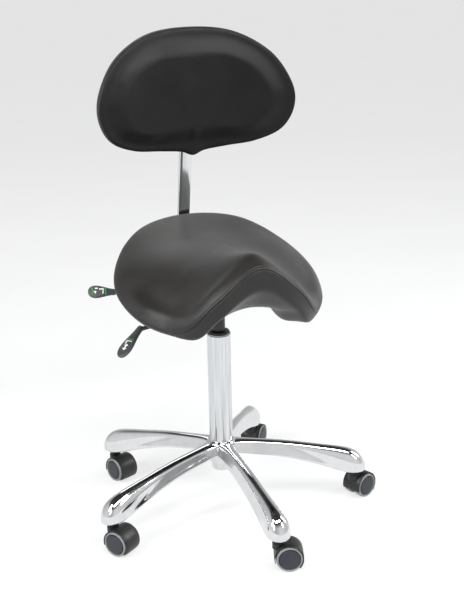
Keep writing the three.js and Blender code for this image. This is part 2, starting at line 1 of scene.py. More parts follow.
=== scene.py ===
"""Saddle stool with a backrest, on a chromed five-star base: the visible pieces, round the CAD frame."""

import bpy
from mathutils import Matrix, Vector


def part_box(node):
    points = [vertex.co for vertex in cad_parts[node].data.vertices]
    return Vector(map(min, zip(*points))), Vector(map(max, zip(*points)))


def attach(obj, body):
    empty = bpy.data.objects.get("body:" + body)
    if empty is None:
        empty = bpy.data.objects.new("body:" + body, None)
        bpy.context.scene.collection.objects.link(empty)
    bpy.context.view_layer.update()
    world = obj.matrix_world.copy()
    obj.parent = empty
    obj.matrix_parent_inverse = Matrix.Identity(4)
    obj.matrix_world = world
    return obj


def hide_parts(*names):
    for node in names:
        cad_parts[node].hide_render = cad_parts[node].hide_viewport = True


bl_info = {
    "name": "Saddle stool",
    "version": (1, 0, 0),
    "blender": (4, 5, 0),
    "location": "3D View > Sidebar > Stool",
    "description": "Builds a saddle stool with a backrest round its CAD frame",
    "category": "Mesh",
}

import math

import bmesh
import bpy
import numpy as np
from mathutils import Matrix, Vector

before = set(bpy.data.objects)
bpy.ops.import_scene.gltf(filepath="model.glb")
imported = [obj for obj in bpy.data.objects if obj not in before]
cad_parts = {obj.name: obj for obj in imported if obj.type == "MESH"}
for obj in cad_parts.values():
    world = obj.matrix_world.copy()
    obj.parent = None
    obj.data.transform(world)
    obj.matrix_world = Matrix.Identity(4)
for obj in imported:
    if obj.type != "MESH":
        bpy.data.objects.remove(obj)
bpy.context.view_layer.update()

MM = 0.001
TURN = math.tau
UP = Vector((0, 0, 1))
CASTERS = range(1, 6)


# ---------------------------------------------------------------- modelling helpers
def to_object_mode():
    if bpy.context.mode != "OBJECT":
        bpy.ops.object.mode_set(mode="OBJECT")


def deselect():
    to_object_mode()
    bpy.ops.object.select_all(action="DESELECT")


def to_edit_mode(select="SELECT"):
    bpy.ops.object.mode_set(mode="EDIT")
    bpy.ops.mesh.select_all(action=select)


def make_active(piece):
    deselect()
    piece.select_set(True)
    bpy.context.view_layer.objects.active = piece


def named(name):
    """Leaves edit mode and names the piece just modelled."""
    to_object_mode()
    piece = bpy.context.view_layer.objects.active
    piece.name = name
    piece.data.name = name
    return piece


def apply_modifier(piece, kind, **settings):
    make_active(piece)
    modifier = piece.modifiers.new(kind.title(), kind)
    for key, value in settings.items():
        setattr(modifier, key, value)
    bpy.ops.object.modifier_apply(modifier=modifier.name)


def apply_place(piece, matrix=None):
    """Moves the piece and leaves its place in its mesh."""
    make_active(piece)
    if matrix is not None:
        piece.matrix_world = matrix
    bpy.ops.object.transform_apply(location=True, rotation=True, scale=True)


def smooth(piece, angle=35):
    make_active(piece)
    bpy.ops.object.shade_smooth_by_angle(angle=math.radians(angle))


def outward(piece):
    """Closes doubled points and turns every face outwards."""
    make_active(piece)
    to_edit_mode()
    bpy.ops.mesh.remove_doubles(threshold=0.01 * MM)
    bpy.ops.mesh.normals_make_consistent(inside=False)
    to_object_mode()


def joined(name, pieces):
    deselect()
    for piece in pieces:
        piece.select_set(True)
    bpy.context.view_layer.objects.active = pieces[0]
    bpy.ops.object.join()
    return named(name)


def duplicate(piece, name, matrix=None):
    """A copy with its own mesh, moved by matrix."""
    copy = piece.copy()
    copy.data = piece.data.copy()
    bpy.context.scene.collection.objects.link(copy)
    copy.name = copy.data.name = name
    if matrix is not None:
        copy.data.transform(matrix)
    return copy


def turned(name, outline, steps=96, sweep=TURN):
    """Spins an outline of (radius, height) millimetres about the Z axis."""
    deselect()
    bpy.ops.mesh.primitive_plane_add(size=MM)
    to_edit_mode()
    bpy.ops.mesh.merge(type="CENTER")
    radius, height = outline[0]
    bpy.ops.transform.translate(value=(radius * MM, 0, height * MM))
    for (r0, z0), (r1, z1) in zip(outline, outline[1:]):
        move = ((r1 - r0) * MM, 0, (z1 - z0) * MM)
        bpy.ops.mesh.extrude_region_move(TRANSFORM_OT_translate={"value": move})
    bpy.ops.mesh.select_all(action="SELECT")
    bpy.ops.mesh.spin(steps=steps, angle=sweep, center=(0, 0, 0), axis=(0, 0, 1))
    piece = named(name)
    if sweep < TURN:
        make_active(piece)
        to_edit_mode("DESELECT")
        bpy.ops.mesh.select_mode(type="EDGE")
        bpy.ops.mesh.select_non_manifold()
        bpy.ops.mesh.edge_face_add()
        bpy.ops.mesh.select_mode(type="VERT")
    outward(piece)
    smooth(piece)
    return piece


def lofted(name, rings):
    """Extrudes a filled ring from section to section. Each ring is a list of points in millimetres."""
    deselect()
    rings = [[Vector(point) * MM for point in ring] for ring in rings]
    bpy.ops.mesh.primitive_circle_add(vertices=len(rings[0]), fill_type="NGON")
    to_edit_mode()
    mesh = bpy.context.object.data
    for point, place in zip(bmesh.from_edit_mesh(mesh).verts, rings[0]):
        point.co = place
    for last, ring in zip(rings, rings[1:]):
        bpy.ops.mesh.extrude_region_move()
        chosen = [v for v in bmesh.from_edit_mesh(mesh).verts if v.select]
        nearest = [min(range(len(last)), key=lambda k: (last[k] - v.co).length) for v in chosen]
        for point, k in zip(chosen, nearest):
            point.co = ring[k]
    bmesh.update_edit_mesh(mesh)
    piece = named(name)
    outward(piece)
    return piece


def crease(piece, chosen, weight=1.0):
    """Creases the edges whose two ends both pass the test."""
    make_active(piece)
    to_edit_mode("DESELECT")
    bpy.ops.mesh.select_mode(type="EDGE")
    mesh = bmesh.from_edit_mesh(piece.data)
    for edge in mesh.edges:
        edge.select_set(all(chosen(v.co / MM) for v in edge.verts))
    bmesh.update_edit_mesh(piece.data)
    bpy.ops.transform.edge_crease(value=weight)
    bpy.ops.mesh.select_mode(type="VERT")
    to_object_mode()


def lathe_frame(centre, axis):
    """A matrix that lays the Z axis of a turned piece along axis, at centre."""
    return Matrix.Translation(centre) @ axis.to_track_quat("Z", "Y").to_matrix().to_4x4()


def rod_along(name, points, radius, sides=10):
    """A round rod along points in millimetres, from a bevelled curve made a mesh."""
    deselect()
    curve = bpy.data.curves.new(name, "CURVE")
    curve.dimensions = "3D"
    spline = curve.splines.new("BEZIER")
    spline.bezier_points.add(len(points) - 1)
    for knot, point in zip(spline.bezier_points, points):
        knot.co = Vector(point) * MM
        knot.handle_left_type = knot.handle_right_type = "AUTO"
    curve.bevel_depth = radius * MM
    curve.bevel_resolution = sides
    curve.resolution_u = 10
    curve.use_fill_caps = True
    piece = bpy.data.objects.new(name, curve)
    bpy.context.scene.collection.objects.link(piece)
    make_active(piece)
    bpy.ops.object.convert(target="MESH")
    piece = named(name)
    outward(piece)
    smooth(piece)
    return piece


def finished(piece, body, slot, material, *nodes):
    """Gives the piece its finish and its body, and hides the CAD nodes it stands for."""
    if material:
        piece.data.materials.clear()
        piece.data.materials.append(material)
    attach(piece, body)
    if nodes:
        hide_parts(*nodes)
    return piece


def grid_skin(name, rows):
    """Skins closed rows of points (metres) with quads, with one point at each end of the stack."""
    count = len(rows[0])
    points = [tuple(np.mean(rows[0], axis=0))] + [tuple(p) for row in rows for p in row]
    points.append(tuple(np.mean(rows[-1], axis=0)))
    faces = [(0, 1 + (k + 1) % count, 1 + k) for k in range(count)]
    for i in range(len(rows) - 1):
        a, b = 1 + i * count, 1 + (i + 1) * count
        faces += [(a + k, a + (k + 1) % count, b + (k + 1) % count, b + k) for k in range(count)]
    last, tip = 1 + (len(rows) - 1) * count, len(points) - 1
    faces += [(last + k, last + (k + 1) % count, tip) for k in range(count)]
    mesh = bpy.data.meshes.new(name)
    mesh.from_pydata(points, [], faces)
    piece = bpy.data.objects.new(name, mesh)
    bpy.context.scene.collection.objects.link(piece)
    outward(piece)
    mesh.polygons.foreach_set("use_smooth", [True] * len(mesh.polygons))
    return piece


# ---------------------------------------------------------------- materials
def colour(code):
    """An sRGB hex colour as linear RGBA."""
    parts = [int(code[i:i + 2], 16) / 255 for i in (1, 3, 5)]
    return [p / 12.92 if p <= 0.04045 else ((p + 0.055) / 1.055) ** 2.4 for p in parts] + [1.0]


def add_node(tree, kind, inputs=None, **settings):
    """Adds a node: inputs are values, or output sockets to link from."""
    node = tree.nodes.new("ShaderNode" + kind)
    for key, value in settings.items():
        setattr(node, key, value)
    for key, value in (inputs or {}).items():
        if isinstance(value, bpy.types.NodeSocket):
            tree.links.new(value, node.inputs[key])
        else:
            node.inputs[key].default_value = value
    return node


def set_ramp(node, *stops):
    """Sets a colour ramp's stops from (position, hex colour or grey level) pairs."""
    ramp = node.color_ramp
    while len(ramp.elements) < len(stops):
        ramp.elements.new(0.5)
    for element, (position, value) in zip(ramp.elements, stops):
        element.position = position
        element.color = colour(value) if isinstance(value, str) else (value, value, value, 1)
    return node.outputs["Color"]


def new_material(name, **constants):
    """A material with one Principled shader; the constants go on its own sockets."""
    material = bpy.data.materials.new(name)
    material.use_nodes = True
    tree = material.node_tree
    tree.nodes.clear()
    shader = add_node(tree, "BsdfPrincipled", {key.replace("_", " "): v for key, v in constants.items()})
    output = add_node(tree, "OutputMaterial")
    tree.links.new(shader.outputs[0], output.inputs[0])
    place = add_node(tree, "TexCoord").outputs["Object"]
    return material, tree, shader, place


def link(tree, source, shader, socket):
    tree.links.new(source, shader.inputs[socket])


def noise(tree, place, scale, detail, **more):
    """The grey output of a noise texture."""
    inputs = {"Vector": place, "Scale": scale, "Detail": detail, **more}
    return add_node(tree, "TexNoise", inputs).outputs["Fac"]


def stretched(tree, place, scale):
    """Coordinates scaled by a different amount on each axis, for streaks."""
    return add_node(tree, "Mapping", {"Vector": place, "Scale": scale}).outputs[0]


def tint(tree, shader, source, *stops):
    """Colours the shader by a ramp over source."""
    link(tree, set_ramp(add_node(tree, "ValToRGB", {"Fac": source}), *stops), shader, "Base Color")


def gloss(tree, shader, source, low, high):
    """Lets the shader's roughness run from low to high with source."""
    spread = add_node(tree, "MapRange", {"Value": source, "To Min": low, "To Max": high})
    link(tree, spread.outputs[0], shader, "Roughness")


def emboss(tree, shader, source, strength, distance):
    """Bumps the shader's surface by source."""
    bump = add_node(tree, "Bump", {"Height": source, "Strength": strength, "Distance": distance})
    link(tree, bump.outputs[0], shader, "Normal")


# Chrome plate on polished cast aluminium: a clear mirror with slightly softer patches, and faint
# waves left in the casting.
def chromed_casting():
    material, tree, shader, place = new_material("chrome_plate_on_cast_aluminium", Metallic=1.0)
    tint(tree, shader, noise(tree, place, 38.0, 5.0, Roughness=0.6), (0.3, "#d3d4d6"), (0.7, "#dbdcdd"))
    gloss(tree, shader, noise(tree, place, 140.0, 4.0), 0.035, 0.075)
    emboss(tree, shader, noise(tree, place, 26.0, 1.0), 0.04, 0.004)
    return material


# Chromed drawn steel: a mirror with soft lengthwise draw lines and wipe marks.
def chromed_steel(name="chrome_plate_on_drawn_steel", streak=(220.0, 220.0, 9.0)):
    material, tree, shader, place = new_material(name, Metallic=1.0)
    lines = noise(tree, stretched(tree, place, streak), 1.0, 3.0)
    tint(tree, shader, lines, (0.25, "#c4c6c8"), (0.75, "#dcdedf"))
    gloss(tree, shader, noise(tree, place, 60.0, 5.0, Roughness=0.65), 0.05, 0.15)
    emboss(tree, shader, lines, 0.03, 0.001)
    return material


# Zinc-plated steel: a dull, slightly blue metal with cloudy patches and fine scratches.
def zinc_plated():
    material, tree, shader, place = new_material("zinc_plated_steel", Metallic=1.0)
    cloud = noise(tree, place, 180.0, 6.0)
    tint(tree, shader, cloud, (0.3, "#8f9498"), (0.7, "#b5b9bc"))
    gloss(tree, shader, cloud, 0.24, 0.42)
    emboss(tree, shader, noise(tree, stretched(tree, place, (2500.0, 300.0, 300.0)), 1.0, 2.0), 0.08, 0.0004)
    return material


# Moulded nylon or similar: mould grain about 1.1 mm across at the usual scale, shinier in patches.
def moulded_plastic(name, dark, light, rough=(0.34, 0.52), grain=900.0, strength=0.16):
    material, tree, shader, place = new_material(name, IOR=1.5, Specular_IOR_Level=0.42)
    cloud = noise(tree, place, 55.0, 6.0, Roughness=0.65)
    tint(tree, shader, cloud, (0.3, dark), (0.72, light))
    gloss(tree, shader, cloud, *rough)
    pits = add_node(tree, "TexVoronoi", {"Vector": place, "Scale": grain}, feature="SMOOTH_F1")
    emboss(tree, shader, pits.outputs["Distance"], strength, 0.0004)
    return material


# Powder coat on steel: satin black with orange peel about 1.2 mm across.
def powder_coat():
    material, tree, shader, place = new_material("powder_coated_steel", IOR=1.5, Specular_IOR_Level=0.5)
    cloud = noise(tree, place, 70.0, 5.0)
    tint(tree, shader, cloud, (0.3, "#131314"), (0.7, "#1f1f21"))
    gloss(tree, shader, cloud, 0.26, 0.4)
    emboss(tree, shader, noise(tree, place, 850.0, 1.0), 0.2, 0.0004)
    return material


# Polyurethane leather cloth: pebbled cells about 1.4 mm across with fine creases between them and
# soft pores in them; stretched tight over foam, so the shine is broad and even. The creases are also
# darkened in the base colour, as painted shade.
def leather_cloth(name, dark, light, rough, level):
    material, tree, shader, place = new_material(
        name, IOR=1.5, Specular_IOR_Level=level, Sheen_Weight=0.06, Sheen_Roughness=0.45)
    wander = noise(tree, place, 14.0, 5.0, Roughness=0.6)
    base = set_ramp(add_node(tree, "ValToRGB", {"Fac": wander}), (0.3, dark), (0.72, light))
    cells = add_node(tree, "TexVoronoi", {"Vector": place, "Scale": 720.0, "Randomness": 0.9},
                     feature="DISTANCE_TO_EDGE")
    crack = add_node(tree, "MapRange", {"Value": cells.outputs["Distance"], "From Max": 0.16}).outputs[0]
    # base colour darker along the creases between cells: painted shade in the creases
    shade = add_node(tree, "MapRange", {"Value": crack, "To Min": 0.78, "To Max": 1.0}).outputs[0]
    tinted = add_node(tree, "Mix", {0: 1.0, 6: base, 7: shade}, data_type="RGBA", blend_type="MULTIPLY")
    link(tree, tinted.outputs[2], shader, "Base Color")
    spread = add_node(tree, "MapRange", {"Value": wander, "From Min": 0.3, "From Max": 0.7,
                                         "To Min": rough[0], "To Max": rough[1]})
    link(tree, spread.outputs[0], shader, "Roughness")
    grain = add_node(tree, "Math", {0: crack, 1: noise(tree, place, 1900.0, 2.0)}, operation="ADD")
    bump = add_node(tree, "Bump", {"Height": grain.outputs[0], "Strength": 0.22, "Distance": 0.0003})
    soft = add_node(tree, "Bump", {"Height": wander, "Strength": 0.15, "Distance": 0.004,
                                   "Normal": bump.outputs[0]})
    link(tree, soft.outputs[0], shader, "Normal")
    return material


# Twisted polyester sewing thread: fine slanting plies about 1 mm apart. The colour is painted lighter on each
# ply's crest and darker in its groove, as painted highlight and shade.
def sewing_thread():
    material, tree, shader, place = new_material("polyester_thread", Specular_IOR_Level=0.3)
    plies = add_node(tree, "TexWave", {"Vector": place, "Scale": 380.0, "Distortion": 1.0},
                     bands_direction="DIAGONAL").outputs["Fac"]
    # lighter crests and darker grooves along the plies: painted highlight and shade
    tint(tree, shader, plies, (0.2, "#1b1a1a"), (0.8, "#3b3938"))
    gloss(tree, shader, plies, 0.5, 0.7)
    emboss(tree, shader, plies, 0.3, 0.0002)
    return material


# Moulded birch plywood: pale veneer with streaks about 4 mm wide along X.
def plywood():
    material, tree, shader, place = new_material("moulded_plywood", Specular_IOR_Level=0.3)
    streaks = noise(tree, stretched(tree, place, (12.0, 240.0, 240.0)), 1.0, 5.0, Distortion=0.6)
    tint(tree, shader, streaks, (0.3, "#a8865a"), (0.7, "#cfb083"))
    gloss(tree, shader, streaks, 0.5, 0.7)
    emboss(tree, shader, streaks, 0.2, 0.0004)
    return material


MATERIALS = {}


def material(key):
    """Each finish is made once, when the first piece asks for it."""
    makers = {
        "casting": chromed_casting,
        "tube": chromed_steel,
        "bar": lambda: chromed_steel("chrome_plate_on_flat_steel", (60.0, 12.0, 12.0)),
        "zinc": zinc_plated,
        "nylon": lambda: moulded_plastic("black_moulded_nylon", "#0f0f10", "#1c1c1d"),
        "lever": lambda: moulded_plastic("grey_moulded_nylon", "#3a3b3c", "#4a4b4d"),
        "disc": lambda: moulded_plastic("slate_moulded_polypropylene", "#24262b", "#30333a", (0.4, 0.55)),
        "tread": lambda: moulded_plastic("grey_polyurethane_tread", "#6f7672", "#8b928e", (0.5, 0.68), 500.0),
        "rubber": lambda: moulded_plastic("black_nitrile_rubber", "#0d0d0d", "#191918", (0.55, 0.75), 600.0),
        "white": lambda: moulded_plastic("white_pad_print", "#d9dbd9", "#f2f3f1", (0.4, 0.55), 900.0, 0.05),
        "green": lambda: moulded_plastic("green_pad_print", "#1c8a43", "#2aa657", (0.4, 0.55), 900.0, 0.05),
        "shell": lambda: moulded_plastic("black_textured_polypropylene", "#0e0e0f", "#191919", (0.42, 0.58),
                                         620.0, 0.3),
        "powder": powder_coat,
        "seat": lambda: leather_cloth("charcoal_leather_cloth", "#1b1a19", "#262423", (0.33, 0.44), 0.34),
        # the backrest pad uses the same leather cloth as the seat, with its base colour painted darker:
        # painted shade on the upright pad
        "pad": lambda: leather_cloth("leather_cloth_painted_darker", "#0a0a0a", "#111110", (0.30, 0.38), 0.2),
        "thread": sewing_thread,
        "plywood": plywood,
    }
    if key not in MATERIALS:
        MATERIALS[key] = makers[key]()
    return MATERIALS[key]


# ---------------------------------------------------------------- the two padded forms
def smooth_loop(half, turns):
    """A closed curve through the points of half and their mirror images, at turns from 0 to 1."""
    half = np.array(half, float)
    knots = np.vstack([half, half[-2:0:-1] * [-1, 1, 1]])
    place = (np.asarray(turns) % 1) * len(knots)
    first = place.astype(int)
    t = (place - first)[:, None]
    p0, p1, p2, p3 = (knots[(first + k) % len(knots)] for k in (-1, 0, 1, 2))
    return 0.5 * (2 * p1 + (p2 - p0) * t + (2 * p0 - 5 * p1 + 4 * p2 - p3) * t ** 2
                  + (3 * p1 - p0 - 3 * p2 + p3) * t ** 3)


def bell(value, middle, spread):
    return np.exp(-((value - middle) / spread) ** 2)


def ease(low, high, value):
    t = np.clip((value - low) / (high - low), 0, 1)
    return t * t * (3 - 2 * t)


SEAT_RIM = [(0, 178, 633), (113, 151, 620), (193, 82, 573), (227, 0, 527), (208, -94, 492),
            (148, -174, 488), (88, -212, 543), (0, -226, 599)]
SEAT_MIDDLE = (0, -10, 593)
SEAT_HALF_DEPTH = 23
SQUARE_FRONT, SQUARE_BACK = 7, 2.6  # higher is a sharper shoulder
SQUARE_FADE = (0.1, 0.18)  # it changes between these shares of the rim, counted from the front
# forms added to the saddle: the height in mm, then a middle and a spread along each coordinate
POMMEL_RISE, POMMEL_X, POMMEL_Y = 18, (0, 62), (-182, 36)
FLANK_DROP, FLANK_REACH, FLANK_TURN = 70, (0.68, 0.23), (0.21, 0.09)
BELLY_DROP, BELLY_X, BELLY_Y = 50, (0, 75), (-160, 52)


def seat_squareness(turn):
    return SQUARE_FRONT - (SQUARE_FRONT - SQUARE_BACK) * ease(*SQUARE_FADE, abs(turn - 0.5))


def seat_points(turn, reach, swell):
    """Points of the seat's skin in mm: reach 0 to 1 from the middle out, swell 1 on top to -1 below."""
    rim = smooth_loop(SEAT_RIM, turn)
    from_front = np.abs(turn - 0.5)
    fall = rim[:, 2] - SEAT_MIDDLE[2]
    away_x, away_y = rim[:, 0] - SEAT_MIDDLE[0], rim[:, 1] - SEAT_MIDDLE[1]
    slope = 2 * np.minimum(0, fall) * reach * away_x / (away_x ** 2 + away_y ** 2)
    upright = 1 / np.hypot(1, slope)
    top, below = np.clip(swell, 0, 1), np.clip(-swell, 0, 1)
    depth = SEAT_HALF_DEPTH * (swell - 1) * upright
    x = SEAT_MIDDLE[0] + away_x * reach - slope * depth
    y = SEAT_MIDDLE[1] + away_y * reach
    pommel = POMMEL_RISE * bell(x, *POMMEL_X) * bell(y, *POMMEL_Y) * ease(0, 0.6, top)
    flank = FLANK_DROP * bell(reach, *FLANK_REACH) * bell(from_front, *FLANK_TURN)
    belly = BELLY_DROP * bell(x, *BELLY_X) * bell(y, *BELLY_Y)
    height = SEAT_MIDDLE[2] + fall * reach ** 2 + depth + pommel - (flank + belly) * below
    return np.stack([x, y, height], 1)


def run_lengths(line):
    """The distance along a polyline to each of its points."""
    return np.concatenate([[0], np.cumsum(np.linalg.norm(np.diff(line, axis=0), axis=1))])


def resample(line, distances):
    """Points at the given distances along a polyline."""
    along = run_lengths(line)
    return np.stack([np.interp(distances, along, line[:, k]) for k in range(3)], 1)


SEAM_HALF_SPAN = 0.166  # how far the front seam runs to each side, as a share of the rim
SEAM_DROP = ([0, 0.06, 0.10, 0.125, 0.145, 0.166], [0.56, 0.53, 0.44, 0.34, 0.23, 0.10])  # its swell there
STITCH_OFFSET = -7.5  # the top stitching runs this far above the seam
SEAT_GIRTH = 1500.0
# folds of the cloth across a seam: height, middle and spread, in mm
SEAM_FOLDS = [(-1.5, 0, 0.95), (0.5, 3.0, 1.8), (0.55, -3.6, 2.0), (-0.55, STITCH_OFFSET, 0.8)]
CORNER_FOLDS, CORNER_SEAM_END = [(-1.2, 0, 1.5)], (38, 52)
FRONT_ROLL, ROLL_MIDDLE_FADE, ROLL_SIDE_FADE = [(4.0, -30, 15)], (0.02, 0.08), (0.2, 0.3)
GATHER_HEIGHT, GATHER_PITCH, GATHER_SPAN, GATHER_BAND = 0.38, 2.1, (8, 15), (-5, 7)
NEAR_START, NEAR_END = 17, 15  # the fine rows by the seam begin and end this far from it
ROWS_ABOVE, ROWS_BELOW = 35, 55


def folds(distance, shapes):
    """The summed height of some folds at a distance from their seam."""
    return sum(height * bell(distance, middle, spread) for height, middle, spread in shapes)


def thin_plate(controls):
    """A smooth height field through control points, rows of (x, y, z) in mm."""
    plan = controls[:, :2] / 100

    def kernel(a, b):
        square = ((a[:, None] - b[None]) ** 2).sum(2) + 1e-12
        return 0.5 * square * np.log(square)

    def terms(a):
        return np.hstack([kernel(a, plan), np.ones((len(a), 1)), a])

    size = len(plan)
    system = np.zeros((size + 3, size + 3))
    system[:size] = terms(plan)
    system[:size, :size] += 0.002 * np.eye(size)
    system[size:, :size] = system[:size, size:].T
    weights = np.linalg.solve(system, np.concatenate([controls[:, 2], np.zeros(3)]))
    return lambda points: terms(points[:, :2] / 100) @ weights


def saddle_field():
    """The open part of the saddle: a smooth field through the seat's shoulders and bowl."""
    controls = []
    for reach, count, clear in ((0.92, 36, 0), (0.8, 28, 0), (0.45, 10, 0.16), (0.0, 1, 0)):
        for k in range(count):
            turn = k / count
            if abs(turn - 0.5) >= clear:
                squareness = seat_squareness(turn)
                swell = (1 - reach ** squareness) ** (1 / squareness)
                controls.append(seat_points(np.array([turn]), np.array([reach]), np.array([swell]))[0])
    return thin_plate(np.array(controls))


def seat_profile(turn, field):
    """The skin's outline from the middle of the top over the rim to the middle below, and its seam."""
    squareness = seat_squareness(turn)
    angle = np.linspace(1, -1, 721)
    angle = np.sign(angle) * (math.pi / 2) * np.abs(angle) ** 2.2
    reach = np.clip(np.cos(angle), 0, 1) ** (2 / squareness)
    swell = np.sign(angle) * np.abs(np.sin(angle)) ** (2 / squareness)
    line = seat_points(np.full(len(angle), turn), reach, swell)
    inner = (1 - ease(0.7, 0.95, reach)) * (swell > 0)
    line[:, 2] += inner * (field(line) - line[:, 2])
    along = run_lengths(line)
    seam_swell = np.interp(abs(turn - 0.5), *SEAM_DROP)
    return line, along, np.interp(-seam_swell, -swell, along)


def skin_normals(rows, middle):
    """Outward directions of a skin given as rows of points."""
    down = np.gradient(rows, axis=0)
    across = np.roll(rows, -1, 1) - np.roll(rows, 1, 1)
    normal = np.cross(down, across)
    normal /= np.linalg.norm(normal, axis=2, keepdims=True) + 1e-9
    return normal if np.sum(normal * (rows - middle)) > 0 else -normal


def seat_cushion_piece():
    corner = SEAM_HALF_SPAN
    fine = np.linspace(-0.008, 0.008, 21)
    turns = np.unique(np.concatenate([np.linspace(0, 1, 320, endpoint=False), 0.5 - corner + fine,
                                      0.5 + corner + fine]))
    near = np.concatenate([np.linspace(-16, -10, 6), np.linspace(-9.4, 3.4, 26), np.linspace(4.5, 14, 8)])
    rows, offset, field = [], [], saddle_field()
    for turn in turns:
        line, along, seam = seat_profile(turn, field)
        before = np.linspace(0, 1, ROWS_ABOVE + 1)[1:] ** 0.9 * (seam - NEAR_START)
        after = seam + NEAR_END + np.linspace(0, 1, ROWS_BELOW + 1)[:-1] * (along[-1] - seam - NEAR_END)
        distances = np.concatenate([before, seam + near, after])
        rows.append(resample(line, distances))
        offset.append(distances - seam)
    rows, offset = np.stack(rows, 1), np.stack(offset, 1)
    normal = skin_normals(rows, np.array(SEAT_MIDDLE) - (0, 0, 25))
    from_front = np.abs(turns - 0.5)[None, :]
    span = 1 - ease(corner - 0.002, corner + 0.001, from_front)
    # the seam between the top and the front panel, with the cloth rolling over on each side of it
    relief = folds(offset, SEAM_FOLDS) * span
    # the padded roll inside the front edge
    roll_span = (1 - ease(*ROLL_SIDE_FADE, from_front)) * ease(*ROLL_MIDDLE_FADE, from_front)
    relief += folds(offset, FRONT_ROLL) * roll_span
    # the short upright seam at each end of the front panel
    past_corner = (from_front - corner) * SEAT_GIRTH
    relief += folds(past_corner, CORNER_FOLDS) * ease(-1, 1, offset) * (1 - ease(*CORNER_SEAM_END, offset))
    # small gathers where the cloth is eased round the corners
    gather = np.sin(past_corner / GATHER_PITCH + 0.5 * np.sin(offset / 5)) * bell(past_corner, *GATHER_SPAN)
    relief += GATHER_HEIGHT * gather * bell(offset, *GATHER_BAND)
    rows = rows + normal * relief[..., None]
    piece = grid_skin("seat_cushion_cover", [row * MM for row in rows])
    k = ROWS_ABOVE + int(np.argmin(np.abs(near - STITCH_OFFSET)))
    sewn = np.abs(turns - 0.5) < corner - 0.003
    return piece, rows[k][sewn], normal[k][sewn]


def stitch_row(name, path, normals, length=3.0, gap=1.2, radius=0.42):
    """Short thread stitches end to end along a path, each half sunk in the cloth. All in mm."""
    along = run_lengths(path)
    count = int(along[-1] // (length + gap))

    def sample(values, start):
        return Vector([np.interp(start, along, values[:, i]) for i in range(3)])

    deselect()
    bpy.ops.mesh.primitive_cylinder_add(vertices=8, radius=radius * MM, depth=length * MM)
    stitch = named(name + "_one")
    to_edit_mode()
    bpy.ops.mesh.bevel(offset=radius * 0.6 * MM, segments=2)
    to_object_mode()
    stitches = []
    for k in range(count):
        start = (k + 0.5) * along[-1] / count
        at = sample(path, start)
        direction = (sample(path, start + 1.0) - at).normalized()
        place = at * MM + sample(normals, start).normalized() * 0.12 * MM
        stitches.append(duplicate(stitch, f"{name}_{k}", lathe_frame(place, direction)))
    bpy.data.objects.remove(stitch)
    piece = joined(name, stitches)
    smooth(piece, 60)
    return piece


# ---------------------------------------------------------------- settings
def length_setting(label, text, default):
    return bpy.props.FloatProperty(name=label, description=text, default=default, unit="LENGTH", precision=4)


class StoolBaseSettings(bpy.types.PropertyGroup):
    tube_radius: length_setting("Tube radius", "Radius of the column's tube", 0.025)
    wheel_radius: length_setting("Wheel radius", "Radius of a caster wheel", 0.027)


class StoolSeatSettings(bpy.types.PropertyGroup):
    bar_width: length_setting("Bar width", "Width of the flat bar that carries the backrest", 0.027)
    bar_thickness: length_setting("Bar thickness", "Thickness of that bar", 0.008)
    paddle_width: length_setting("Paddle width", "Width of a lever's paddle", 0.030)


class StoolStageSettings(bpy.types.PropertyGroup):
    key_power: bpy.props.FloatProperty(
        name="Key light", description="Power of the front softbox", default=80.0, unit="POWER")


# ---------------------------------------------------------------- operators
# reach, crest height, crease half width, crease height, lip half width, lip height, in mm
LEG_STATIONS = [
    (14, 156, 17, 150, 22, 133), (30, 156, 17, 149, 22.5, 132), (44, 155, 13.5, 146, 20, 130),
    (70, 152, 12, 144, 19, 125), (100, 149, 12, 140.5, 18.6, 121), (130, 145.5, 12.3, 135.5, 18.4, 115.5),
    (163, 140.5, 13, 128, 18.8, 107), (195, 134.5, 14.4, 118.5, 19.4, 98), (225, 129.5, 17, 106, 20.6, 88),
    (252, 125, 20.5, 93, 22, 77), (275, 120.3, 23.2, 84, 23.8, 70), (290, 113.6, 24.4, 82, 24.8, 69),
    (300, 106, 22.4, 80, 23, 69), (308, 95.5, 17.2, 78, 17.9, 69), (312.8, 85.5, 9.4, 76, 10, 69),
    (314.6, 79, 3.4, 74, 3.6, 69)]
LEG_FLOOR = 62
FOLD_CREASE, CREASE_SPAN = 0.75, (40, 262)  # how sharp the shoulder is, and where along the leg
# the hollow under a leg
HOLLOW_SPAN, HOLLOW_HALF_WIDTH, HOLLOW_WALL, HOLLOW_RISE, HOLLOW_TAPER = (44, 252), 11, 2, 9, 0.8
HUB_OUTLINE = [(0, 157.5), (25.5, 157.5), (27.5, 157), (30, 155.2), (32, 151), (33, 144), (33, 116),
               (32, 113), (29, 112), (0, 112)]


